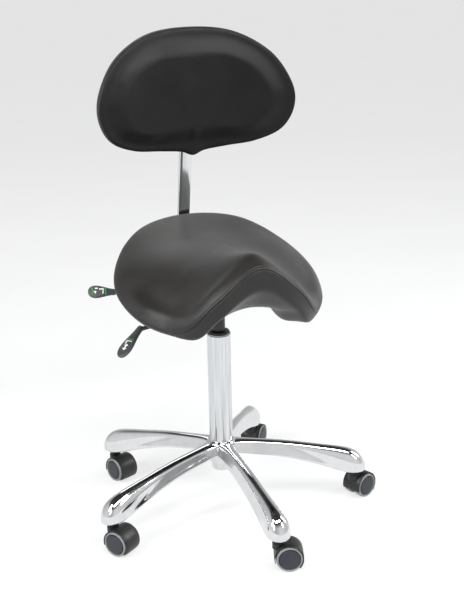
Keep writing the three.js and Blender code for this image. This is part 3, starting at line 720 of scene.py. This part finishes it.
class STOOL_OT_star(bpy.types.Operator):
    """Cast five-star base: crowned legs with a sharp shoulder, swelling to a rounded end over each caster"""

    bl_idname = "stool.star"
    bl_label = "Star base"

    def execute(self, context):
        rings = []
        for reach, crest, fold, fold_z, half, lip in LEG_STATIONS:
            floor = max(LEG_FLOOR, lip - 3)
            arch = [(fold * math.sin(math.radians(a)), fold_z + (crest - fold_z) * math.cos(math.radians(a)))
                    for a in (0, 24, 48, 70)]
            side = [(fold, fold_z), ((fold + half) / 2 - 0.6, (fold_z + lip) / 2), (half, lip),
                    (half * (0.94 if reach < 270 else 0.86), floor), (half * 0.5, floor)]
            right = arch + side
            left = [(-y, z) for y, z in reversed(right[1:])]
            rings.append([(reach, y, z) for y, z in right + [(0, floor)] + left])
        leg = lofted("leg", rings)
        # the hollow under the leg, between the hub and the caster's socket
        to_edit_mode("DESELECT")
        bpy.ops.mesh.select_mode(type="FACE")
        mesh = bmesh.from_edit_mesh(leg.data)
        for face in mesh.faces:
            middle = face.calc_center_median() / MM
            inside = abs(middle.y) < HOLLOW_HALF_WIDTH and HOLLOW_SPAN[0] < middle.x < HOLLOW_SPAN[1]
            face.select_set(face.normal.z < -0.7 and inside and len(face.verts) == 4)
        bmesh.update_edit_mesh(leg.data)
        bpy.ops.mesh.inset(thickness=HOLLOW_WALL * MM)
        bpy.ops.mesh.extrude_region_move(TRANSFORM_OT_translate={"value": (0, 0, HOLLOW_RISE * MM)})
        bpy.ops.transform.resize(value=(1, HOLLOW_TAPER, 1))
        bpy.ops.mesh.select_mode(type="VERT")
        to_object_mode()
        shoulder = {(round(reach), round(fold, 1)) for reach, _, fold, _, _, _ in LEG_STATIONS
                    if CREASE_SPAN[0] < reach < CREASE_SPAN[1]}
        crease(leg, lambda p: (round(p.x), round(abs(p.y), 1)) in shoulder, FOLD_CREASE)
        apply_modifier(leg, "SUBSURF", levels=3, render_levels=3)
        smooth(leg, 50)
        hub = turned("hub", HUB_OUTLINE, 120)
        legs = []
        for k in range(5):
            legs.append(duplicate(leg, f"leg_{k}", Matrix.Rotation(math.radians(-90 + 72 * k), 4, "Z")))
        bpy.data.objects.remove(leg)
        star = joined("star_base", [hub] + legs)
        finished(star, "base", "polished_star", material("casting"), "base_star")
        return {"FINISHED"}


class STOOL_OT_column(bpy.types.Operator):
    """Chromed column tube, its black guide bush with a pale lip, and the gas spring's black barrel"""

    bl_idname = "stool.column"
    bl_label = "Column"

    def execute(self, context):
        r = context.scene.stool_base.tube_radius / MM
        tube = turned("column_sleeve", [
            (22.4, 330), (22.4, 395.6), (22.9, 396), (r - 0.5, 396), (r, 395.4), (r, 158), (r - 0.4, 150),
            (21.4, 116), (21, 110), (21, 96), (20.4, 94.6), (20.4, 92), (19, 90), (15.5, 90), (15.5, 92.5),
            (0, 92.5), (0, 100), (18, 100), (19, 120), (22.4, 160), (22.4, 330)], 128)
        finished(tube, "base", "chrome_tube", material("tube"), "column_tube")
        bush = turned("guide_bush", [
            (14.6, 404), (20.6, 404), (22, 403.2), (22.6, 401.6), (22.6, 399), (24.4, 398.6), (24.6, 397.6),
            (24.4, 396.2), (22.2, 396.2), (22.1, 340), (14.6, 340), (14.6, 404)], 96)
        finished(bush, "base", "black_plastic", material("nylon"), "column_bush")
        collar = turned("bush_lip", [
            (22.75, 398.9), (24.7, 398.7), (24.95, 398.1), (24.95, 397.4), (24.5, 396.6), (22.75, 396.6),
            (22.75, 398.9)], 96)
        finished(collar, "base", "bright_steel", material("zinc"))
        low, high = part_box("gas_cylinder")
        barrel = turned("gas_spring_barrel", [
            (0, high.z / MM), (12.6, high.z / MM), (14, high.z / MM - 16), (14, low.z / MM + 3.2),
            (13.2, low.z / MM + 0.8), (12, low.z / MM), (0, low.z / MM)], 72)
        finished(barrel, "seat", "black_steel", material("powder"), "gas_cylinder")
        return {"FINISHED"}


FENDER = (-42, 196)  # the angles it covers, from the trailing side up and over, in degrees
COLLAR_OUTLINE = [(0, 60.5), (10.4, 60.5), (11, 60), (11, 56), (12.6, 55), (12.6, 43), (9, 40), (0, 40)]


def caster_frame(number):
    """The middle between a caster's wheels, its axle's and its trail's direction, and its stem's middle."""
    a, b = (sum(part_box(f"caster_{number}_wheel_{side}"), Vector()) / 2 for side in "ab")
    stem = sum(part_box(f"caster_{number}_stem"), Vector()) / 2
    middle = (a + b) / 2
    trail = Vector((middle.x - stem.x, middle.y - stem.y, 0)).normalized()
    return middle, (a - b).normalized(), trail, stem


class STOOL_OT_casters(bpy.types.Operator):
    """Twin-wheel casters: black hood with a fender, slate discs and soft grey treads"""

    bl_idname = "stool.casters"
    bl_label = "Casters"

    def execute(self, context):
        r = context.scene.stool_base.wheel_radius / MM
        disc = turned("disc", [
            (0, 25.2), (12, 25.2), (17.5, 24.9), (20.2, 24.0), (21.2, 22.6), (21.4, 21.2), (21.6, 20.6),
            (21.6, 7.4), (20.4, 6.4), (18, 6.0), (6, 6.0), (3.3, 5.8), (3.3, 16), (0, 16)], 72)
        tread = turned("tread", [
            (21.7, 20.9), (21.9, 22.4), (22.6, 23.6), (23.6, 24.1), (24.8, 23.8), (26, 22.4), (r - 0.25, 20),
            (r, 17), (r, 10.4), (r - 0.4, 8), (25.8, 6.6), (24, 6.2), (21.7, 6.6), (21.7, 20.9)], 72)
        fender = turned("fender", [
            (27.6, -22.4), (27.9, -22.9), (28.5, -22.9), (29.0, -22.2), (29.5, -12), (29.6, 0), (29.5, 12),
            (29.0, 22.2), (28.5, 22.9), (27.9, 22.9), (27.6, 22.4), (27.8, 12), (27.8, -12), (27.6, -22.4)],
            64, math.radians(FENDER[1] - FENDER[0]))
        web = turned("web", [
            (0, -4.6), (20.5, -4.6), (21.6, -3.8), (22, -2.8), (22, 2.8), (21.6, 3.8), (20.5, 4.6),
            (0, 4.6)], 64)
        for number in CASTERS:
            middle, axle, trail, stem = caster_frame(number)
            side = UP.cross(trail)
            upright = Matrix((trail, side, UP)).transposed().to_4x4()
            upright.translation = middle
            for which in "ab":
                facing = axle if which == "a" else -axle
                place = lathe_frame(middle, facing)
                wheel = duplicate(disc, f"caster_{number}_disc_{which}", place)
                smooth(wheel, 30)
                finished(wheel, f"caster_{number}_roller_{which}", "wheel_plastic", material("disc"),
                         f"caster_{number}_wheel_{which}")
                ring = duplicate(tread, f"caster_{number}_tread_{which}", place)
                smooth(ring, 40)
                finished(ring, f"caster_{number}_roller_{which}", "rubber", material("tread"))
            # axes of the fender: X along the trail turned up by the start angle, Z along the axle
            on_axle = upright @ Matrix.Rotation(math.radians(90), 4, "X")
            lay = on_axle @ Matrix.Rotation(math.radians(FENDER[1]), 4, "Z")
            parts = [duplicate(fender, "fender_part", lay), duplicate(web, "web_part", on_axle)]
            collar = turned("collar_part", COLLAR_OUTLINE, 48)
            apply_place(collar, Matrix.Translation((stem.x, stem.y, 0)))
            hood = joined(f"caster_{number}_hood_shell", parts + [collar])
            smooth(hood, 40)
            finished(hood, f"caster_{number}", "black_plastic", material("nylon"), f"caster_{number}_hood")
        for spare in (disc, tread, fender, web):
            bpy.data.objects.remove(spare)
        return {"FINISHED"}


class STOOL_OT_seat(bpy.types.Operator):
    """Saddle cushion: raised pommel, deep flanks, a sewn front panel with top stitching and eased corners"""

    bl_idname = "stool.seat"
    bl_label = "Saddle cushion"

    def execute(self, context):
        cushion, path, outs = seat_cushion_piece()
        finished(cushion, "seat", "seat_leather", material("seat"), "seat_cushion")
        threads = stitch_row("seat_stitching", path, outs)
        finished(threads, "seat", "seat_leather", material("thread"))
        return {"FINISHED"}


PAD_RIM = [(0, 0, 1014), (92, 0, 1003), (166, 0, 960), (206, 0, 898), (211, 0, 846), (186, 0, 800),
           (134, 0, 776), (74, 0, 768), (26, 0, 762), (0, 0, 753)]
PAD_MIDDLE = 885
PAD_PARTING = 128
PAD_WRAP = 52
PAD_HALF_WIDTH = 212
PAD_DROP, PAD_DROP_WIDTH = 10, 20  # the small drop over the bar
PAD_DEPTH = 30
PAD_SQUARENESS = 6
PAD_SHOULDER = (60, 12)  # where it starts and ends, in from the rim
PAD_WALL = 0.5  # share of the depth that is left for the side, outside the sloping shoulder
PAD_SEAM = 5.5  # the edge seam's distance in front of the parting line, in mm
PAD_FOLDS = [(-1.1, 0, 0.9), (0.4, 2.6, 1.5), (0.3, -2.4, 1.2)]
PAD_STITCH_OFFSET = 3.4
SHELL_BACK, SHELL_WALL, SHELL_GAP = 39, 3, 1.2
SHELL_SQUARENESS = 3.5
SHELL_INSIDE = 0.97  # the inner face's reach, as a share of the outer one's
BAR_MOUTH, BAR_MOUTH_Y, BAR_MOUTH_ROUNDING = (0.032, 0.031, 0.138), 0.1565, 0.005


def pad_points(turn, reach, depth):
    """Points of the backrest in mm: reach 0 to 1 from the middle out, depth behind the parting line."""
    rim = smooth_loop(PAD_RIM, turn)
    low = rim[:, 2] < PAD_MIDDLE
    rim[:, 2] += PAD_DROP * bell(rim[:, 0], 0, PAD_DROP_WIDTH) * low * (1 - ease(0.8, 1, reach))
    x = rim[:, 0] * reach
    wrap = PAD_WRAP * (x / PAD_HALF_WIDTH) ** 2
    return np.stack([x, PAD_PARTING - wrap + depth, PAD_MIDDLE + (rim[:, 2] - PAD_MIDDLE) * reach], 1)


class STOOL_OT_backrest(bpy.types.Operator):
    """Backrest: crowned leather-cloth pad with an edge seam, and the moulded shell behind it"""

    bl_idname = "stool.backrest"
    bl_label = "Backrest"

    def execute(self, context):
        turns = np.linspace(0, 1, 320, endpoint=False)
        # the front from the middle out, with its sloping shoulder, and then down the rounded side
        rim = smooth_loop(PAD_RIM, turns)
        span = np.hypot(rim[:, 0], rim[:, 2] - PAD_MIDDLE)
        inner, side = np.linspace(0.02, 0.93, 46), np.linspace(0.83, 0, 44)
        power = PAD_SQUARENESS
        reaches = np.concatenate([inner, (1 - side ** power) ** (1 / power)])
        rises = np.concatenate([(1 - inner ** power) ** (1 / power), side])
        rows, depths = [], []
        for reach, rise in zip(reaches, rises):
            shoulder = 1 - PAD_WALL * ease(1 - PAD_SHOULDER[0] / span, 1 - PAD_SHOULDER[1] / span, reach)
            depths.append(PAD_DEPTH * rise * shoulder)
            rows.append(pad_points(turns, np.full(len(turns), reach), -depths[-1]))
        for reach in np.linspace(0.995, 0.05, 24):
            rows.append(pad_points(turns, np.full(len(turns), reach), 0.0))
            depths.append(np.zeros(len(turns)))
        rows, depths = np.stack(rows), np.stack(depths)
        normal = skin_normals(rows, np.array([0, PAD_PARTING - 20, PAD_MIDDLE]))
        rows = rows + normal * folds(depths - PAD_SEAM, PAD_FOLDS)[..., None]
        pad = grid_skin("backrest_pad_cover", [row * MM for row in rows])
        finished(pad, "back_pad", "seat_leather", material("pad"), "back_cushion")
        k = int(np.argmin(np.abs(depths[:len(reaches), 0] - PAD_SEAM - PAD_STITCH_OFFSET)))
        threads = stitch_row("backrest_stitching", np.vstack([rows[k], rows[k][:1]]),
                             np.vstack([normal[k], normal[k][:1]]))
        finished(threads, "back_pad", "seat_leather", material("thread"))

        angles = np.linspace(0.03, 1, 44) * math.pi / 2
        shell_rows = []
        outer, inner = (1.0, SHELL_BACK, angles), (SHELL_INSIDE, SHELL_BACK - SHELL_WALL, angles[::-1])
        for share, deep, face_angles in (outer, inner):
            for a in face_angles:
                reach = math.sin(a) ** (2 / SHELL_SQUARENESS)
                rise = max(0.0, math.cos(a)) ** (2 / SHELL_SQUARENESS)
                depth = SHELL_GAP + (deep - SHELL_GAP) * rise
                shell_rows.append(pad_points(turns, np.full(len(turns), share * reach), depth) * MM)
        shell = grid_skin("backrest_shell_moulded", shell_rows)
        deselect()
        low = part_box("back_shell")[0]
        bpy.ops.mesh.primitive_cube_add(size=1, location=(0, BAR_MOUTH_Y, low.z))
        mouth = named("mouth")
        mouth.dimensions = BAR_MOUTH
        apply_place(mouth)
        apply_modifier(mouth, "BEVEL", width=BAR_MOUTH_ROUNDING, segments=4)
        apply_modifier(shell, "BOOLEAN", object=mouth, operation="DIFFERENCE", solver="EXACT")
        bpy.data.objects.remove(mouth)
        smooth(shell, 40)
        finished(shell, "back_pad", "black_plastic", material("shell"), "back_shell")
        return {"FINISHED"}


BAR_LINE = [(149, 490), (166, 490), (180, 493), (193, 502), (201, 516), (203, 532), (197, 566), (189, 614),
            (178, 680), (168, 738), (158, 785), (154, 822), (153.5, 850), (153.5, 900), (153.5, 955)]
BAR_CHAMFER = 1.2


class STOOL_OT_bar(bpy.types.Operator):
    """Bent flat bar with eased edges that carries the backrest"""

    bl_idname = "stool.bar"
    bl_label = "Backrest bar"

    def execute(self, context):
        settings = context.scene.stool_seat
        half, thick = settings.bar_width / MM / 2, settings.bar_thickness / MM / 2
        rings = []
        for k, (y, z) in enumerate(BAR_LINE):
            y0, z0 = BAR_LINE[max(0, k - 1)]
            y1, z1 = BAR_LINE[min(len(BAR_LINE) - 1, k + 1)]
            length = math.hypot(y1 - y0, z1 - z0)
            ny, nz = (z1 - z0) / length, -(y1 - y0) / length
            c = BAR_CHAMFER
            outline = [(half, thick - c), (half - c, thick), (-half + c, thick), (-half, thick - c),
                       (-half, -thick + c), (-half + c, -thick), (half - c, -thick), (half, -thick + c)]
            rings.append([(u, y + ny * v, z + nz * v) for u, v in outline])
        bar = lofted("backrest_bar_chromed", rings)
        crease(bar, lambda p: True, 0.55)
        apply_modifier(bar, "SUBSURF", levels=2, render_levels=2)
        smooth(bar, 40)
        finished(bar, "back_arm", "chrome_tube", material("bar"), "backrest_bar")
        return {"FINISHED"}


LEVERS = {
    "height": ([(7, 0, 500), (-27, 0, 500), (-47, 0, 500), (-66, 3, 484), (-88, 8, 458), (-120, 15, 435),
                (-164, 27, 421)], (-222, -18, 386), (-0.4, -0.3, 0.87)),
    "tilt": ([(-18, 96, 488), (-27, 96, 488), (-51, 96, 488), (-118, 124, 480), (-179, 148, 470)],
             (-234, 151, 477), (0, -0.72, 0.69)),
}
LEVER_RADIUS = 4.5
PRINT_DEPTH = 0.45
PRINT_SHARE, PRINT_LIFT = 0.64, 4.75  # where the sign lies along the paddle, and its height over the middle
PRINT_WIDEN, PRINT_SLANT = 1.3, -0.06
# outlines in mm, X along the paddle from the rod outwards: a small chair and an arrow, and a bar beside them
PICTOGRAMS = {
    "height": (
        [[(-13, -4.5), (-11, -4.5), (-11, 5), (-13, 5)], [(-11, -4.5), (-4, -4.5), (-4, -2.5), (-11, -2.5)],
         [(1, -1.2), (8, -1.2), (8, 1.2), (1, 1.2)], [(8, -4), (13.5, 0), (8, 4)],
         [(1, 4), (-3.5, 0), (1, -4)]],
        [[(-17.5, -7), (-15.5, -7), (-15.5, 7), (-17.5, 7)]]),
    "tilt": (
        [[(-13, -4.5), (-11, -4.5), (-9, 5), (-11, 5)], [(-11, -4.5), (-3, -4.5), (-3, -2.5), (-11, -2.5)],
         [(0, -6), (6, -6), (6, -4), (0, -4)], [(3, 0), (9, 0), (6, 5)]],
        [[(-17.5, -7), (-15.5, -7), (-15.5, 7), (-17.5, 7)], [(11, -6), (13, -6), (13, 6), (11, 6)]]),
}


class STOOL_OT_levers(bpy.types.Operator):
    """Two hand levers: black rod, socketed grey paddle that widens to a rounded end, and a small pictogram"""

    bl_idname = "stool.levers"
    bl_label = "Levers"

    def pictogram(self, key, body, lay):
        """A pad-printed sign on the paddle: a seat with an arrow, white, and a green bar."""
        white, green = PICTOGRAMS[key]
        for shade, shapes in (("white", white), ("green", green)):
            marks = []
            for outline in shapes:
                deselect()
                bpy.ops.mesh.primitive_circle_add(vertices=len(outline), fill_type="NGON")
                to_edit_mode()
                mesh = bmesh.from_edit_mesh(bpy.context.object.data)
                for point, (x, y) in zip(mesh.verts, outline):
                    point.co = (x * MM, y * MM, -PRINT_DEPTH * MM)
                bmesh.update_edit_mesh(bpy.context.object.data)
                rise = (0, 0, 2 * PRINT_DEPTH * MM)
                bpy.ops.mesh.extrude_region_move(TRANSFORM_OT_translate={"value": rise})
                mark = named("mark")
                outward(mark)
                marks.append(mark)
            sign = joined(f"{key}_lever_{shade}_print", marks)
            slant = Matrix(((1, 0, 0, 0), (0, PRINT_WIDEN, 0, 0), (PRINT_SLANT, 0, 1, 0), (0, 0, 0, 1)))
            apply_place(sign)
            sign.data.transform(lay @ slant)
            finished(sign, body, "lever_plastic", material(shade))

    def execute(self, context):
        width = context.scene.stool_seat.paddle_width / MM
        for key, (path, tip, up) in LEVERS.items():
            body = f"{key}_lever"
            rod = rod_along(f"{key}_lever_rod", path, LEVER_RADIUS)
            finished(rod, body, "black_steel", material("powder"), f"{key}_rod")
            root, tip = Vector(path[-1]), Vector(tip)
            along = (tip - root).normalized()
            across = Vector(up).cross(along).normalized()
            normal = along.cross(across)
            reach = (tip - root).length
            # share of the paddle's length, half width, half thickness, lift
            wide = width / 2
            stations = [(-0.12, 6.0, 6.0, 0), (0.0, 6.6, 6.2, 0), (0.10, 7.2, 5.6, 0.4),
                        (0.26, 9.6, 4.4, 1.2), (0.46, wide - 2, 4.0, 1.6), (0.66, wide + 0.6, 3.8, 1.0),
                        (0.82, wide, 3.6, 0),
                        (0.93, wide - 3.8, 3.2, -1.0), (0.985, wide - 8.8, 2.4, -1.6), (1.0, 2.6, 1.3, -1.8)]
            rings = []
            for share, half, thick, lift in stations:
                centre = root + along * reach * share + normal * lift
                ring = []
                for k in range(16):
                    a = TURN * k / 16
                    u = math.copysign(abs(math.cos(a)) ** 0.7, math.cos(a)) * half
                    v = math.copysign(abs(math.sin(a)) ** 0.8, math.sin(a)) * thick
                    ring.append(tuple(centre + across * u + normal * v))
                rings.append(ring)
            paddle = lofted(f"{key}_lever_paddle", rings)
            apply_modifier(paddle, "SUBSURF", levels=2, render_levels=2)
            smooth(paddle, 60)
            finished(paddle, body, "lever_plastic", material("lever"), f"{key}_paddle")
            lay = Matrix((along, across, normal)).transposed().to_4x4()
            lay.translation = (root + along * reach * PRINT_SHARE + normal * PRINT_LIFT) * MM
            self.pictogram(key, body, lay)
        return {"FINISHED"}


NODE_FINISHES = {
    "stem": "zinc", "axle": "zinc", "piston_rod": "tube", "retaining_clip": "zinc",
    "thrust_bearing": "zinc", "bump_stop": "rubber", "taper_socket": "powder", "mechanism_housing": "powder",
    "mounting_plate": "powder", "pivot_pin": "zinc", "seat_pan": "shell", "seat_bolt": "zinc",
    "release_pin": "zinc", "arm_bracket": "powder", "bar_bolt": "zinc", "back_plate": "plywood",
    "back_shell": "shell", "bar_guide": "powder", "knob_screw": "zinc", "clamp_knob": "nylon",
}


class STOOL_OT_hardware(bpy.types.Operator):
    """Finishes for the mechanism, fasteners, bearings and boards, which keep their CAD shapes"""

    bl_idname = "stool.hardware"
    bl_label = "Mechanism and fasteners"

    def execute(self, context):
        for name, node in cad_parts.items():
            if node.hide_render:
                continue
            keys = [key for key in NODE_FINISHES if key in name]
            if not keys:
                raise RuntimeError(f"no finish for the CAD node {name}")
            node.data.materials.clear()
            node.data.materials.append(material(NODE_FINISHES[max(keys, key=len)]))
        return {"FINISHED"}


CAMERA_PLACE = (-0.8429, -2.1180, 1.1975)
CAMERA_HEADING, CAMERA_TILT, CAMERA_ROLL = math.radians(22.44), math.radians(17.73), math.radians(-1.183)
CAMERA_LENS = 69.27
FLOOR_GLOW = 0.66


class STOOL_OT_stage(bpy.types.Operator):
    """Pale floor, soft studio lights and the camera"""

    bl_idname = "stool.stage"
    bl_label = "Stage"

    def execute(self, context):
        settings = context.scene.stool_stage
        deselect()
        bpy.ops.mesh.primitive_circle_add(vertices=96, radius=40, fill_type="NGON", location=(0, 0, -0.0004))
        floor = named("studio_floor")
        apply_place(floor)
        matt, tree, shader, place = new_material("matt_floor_paint", Roughness=0.9, Specular_IOR_Level=0.1)
        tint(tree, shader, noise(tree, place, 3.0, 3.0), (0.3, "#8f9091"), (0.7, "#939495"))
        shader.inputs["Emission Color"].default_value = (1, 1, 1, 1)
        shader.inputs["Emission Strength"].default_value = FLOOR_GLOW
        floor.data.materials.append(matt)

        world = bpy.data.worlds.new("studio")
        context.scene.world = world
        world.use_nodes = True
        sky = world.node_tree
        sky.nodes.clear()
        ray = add_node(sky, "TexCoord").outputs["Generated"]
        height = add_node(sky, "SeparateXYZ", {0: ray}).outputs["Z"]
        # a white tent up to about 45 degrees, a dark ceiling above it
        tent = add_node(sky, "ValToRGB", {"Fac": height})
        tent = set_ramp(tent, (0.0, 0.95), (0.55, 0.85), (0.74, 0.10), (1.0, 0.05))
        # the room behind the camera is darker than the tent, and so is a strip at each side of it
        bearing = add_node(sky, "Mapping", {"Vector": ray, "Rotation": (0, 0, math.radians(-112.4))})
        round_room = add_node(sky, "TexGradient", {"Vector": bearing.outputs[0]}, gradient_type="RADIAL")
        room = add_node(sky, "ValToRGB", {"Fac": round_room.outputs["Fac"]})
        room = set_ramp(room, (0.0, 1.0), (0.12, 0.7), (0.2, 0.95), (0.36, 0.55), (0.44, 0.8), (0.5, 0.5),
                        (0.6, 0.9), (0.72, 1.0), (0.84, 0.6), (0.93, 1.0))
        both = add_node(sky, "Mix", {0: 1.0, 6: tent, 7: room}, data_type="RGBA", blend_type="MULTIPLY")
        background = add_node(sky, "Background", {"Color": both.outputs[2], "Strength": 1.0})
        output = add_node(sky, "OutputWorld")
        sky.links.new(background.outputs[0], output.inputs[0])

        # name, place, aimed at, width, height, power
        lights = [
            ("front_softbox", (0.05, -1.9, 3.1), (0, 0, 0.8), 2.8, 0.55, settings.key_power),
            ("left_softbox", (-2.3, -0.6, 2.2), (0, 0, 0.5), 0.6, 1.6, 60.0),
            ("right_softbox", (2.3, -0.45, 1.75), (0, 0, 0.8), 0.5, 1.3, 34.0),
            ("left_front_softbox", (-2.3, -1.7, 1.5), (0, 0, 0.9), 0.5, 1.2, 12.0),
            ("right_front_softbox", (1.5, -2.2, 1.9), (0, 0, 0.9), 0.4, 1.0, 14.0),
            ("back_softbox", (0.4, 2.4, 2.6), (0, 0, 0.6), 1.4, 0.7, 9.0),
        ]
        for name, place, target, width, height, power in lights:
            lamp = bpy.data.lights.new(name, "AREA")
            lamp.shape, lamp.size, lamp.size_y, lamp.energy = "RECTANGLE", width, height, power
            holder = bpy.data.objects.new(name, lamp)
            context.scene.collection.objects.link(holder)
            holder.location = place
            holder.rotation_euler = (Vector(target) - Vector(place)).to_track_quat("-Z", "Y").to_euler()
            holder.visible_camera = False

        lens = bpy.data.cameras.new("camera")
        lens.lens, lens.sensor_width, lens.clip_end = CAMERA_LENS, 36.0, 200.0
        camera = bpy.data.objects.new("camera", lens)
        context.scene.collection.objects.link(camera)
        a, e, r = CAMERA_HEADING, CAMERA_TILT, CAMERA_ROLL
        back = Vector((-math.sin(a) * math.cos(e), -math.cos(a) * math.cos(e), math.sin(e)))
        level = Vector((math.cos(a), -math.sin(a), 0))
        upright = back.cross(level)
        right = level * math.cos(r) + upright * math.sin(r)
        over = -level * math.sin(r) + upright * math.cos(r)
        pose = Matrix((right, over, back)).transposed().to_4x4()
        pose.translation = CAMERA_PLACE
        camera.matrix_world = pose
        context.scene.camera = camera
        context.scene.view_settings.view_transform = "Standard"
        return {"FINISHED"}


class STOOL_PT_panel(bpy.types.Panel):
    bl_label = "Saddle stool"
    bl_idname = "STOOL_PT_panel"
    bl_space_type = "VIEW_3D"
    bl_region_type = "UI"
    bl_category = "Stool"

    def draw(self, context):
        for group in ("stool_base", "stool_seat", "stool_stage"):
            settings = getattr(context.scene, group)
            for key in settings.__annotations__:
                self.layout.prop(settings, key)
        for operator in OPERATORS:
            self.layout.operator(operator.bl_idname)


OPERATORS = (STOOL_OT_star, STOOL_OT_column, STOOL_OT_casters, STOOL_OT_seat, STOOL_OT_backrest, STOOL_OT_bar,
             STOOL_OT_levers, STOOL_OT_hardware, STOOL_OT_stage)
SETTINGS = {"stool_base": StoolBaseSettings, "stool_seat": StoolSeatSettings,
            "stool_stage": StoolStageSettings}
CLASSES = (*SETTINGS.values(), *OPERATORS, STOOL_PT_panel)


def register():
    for item in CLASSES:
        bpy.utils.register_class(item)
    for key, group in SETTINGS.items():
        setattr(bpy.types.Scene, key, bpy.props.PointerProperty(type=group))


def unregister():
    for key in SETTINGS:
        delattr(bpy.types.Scene, key)
    for item in reversed(CLASSES):
        bpy.utils.unregister_class(item)


def main():
    register()
    for operator in OPERATORS:
        getattr(bpy.ops.stool, operator.bl_idname.split(".")[1])()
    deselect()


if __name__ == "__main__":
    main()
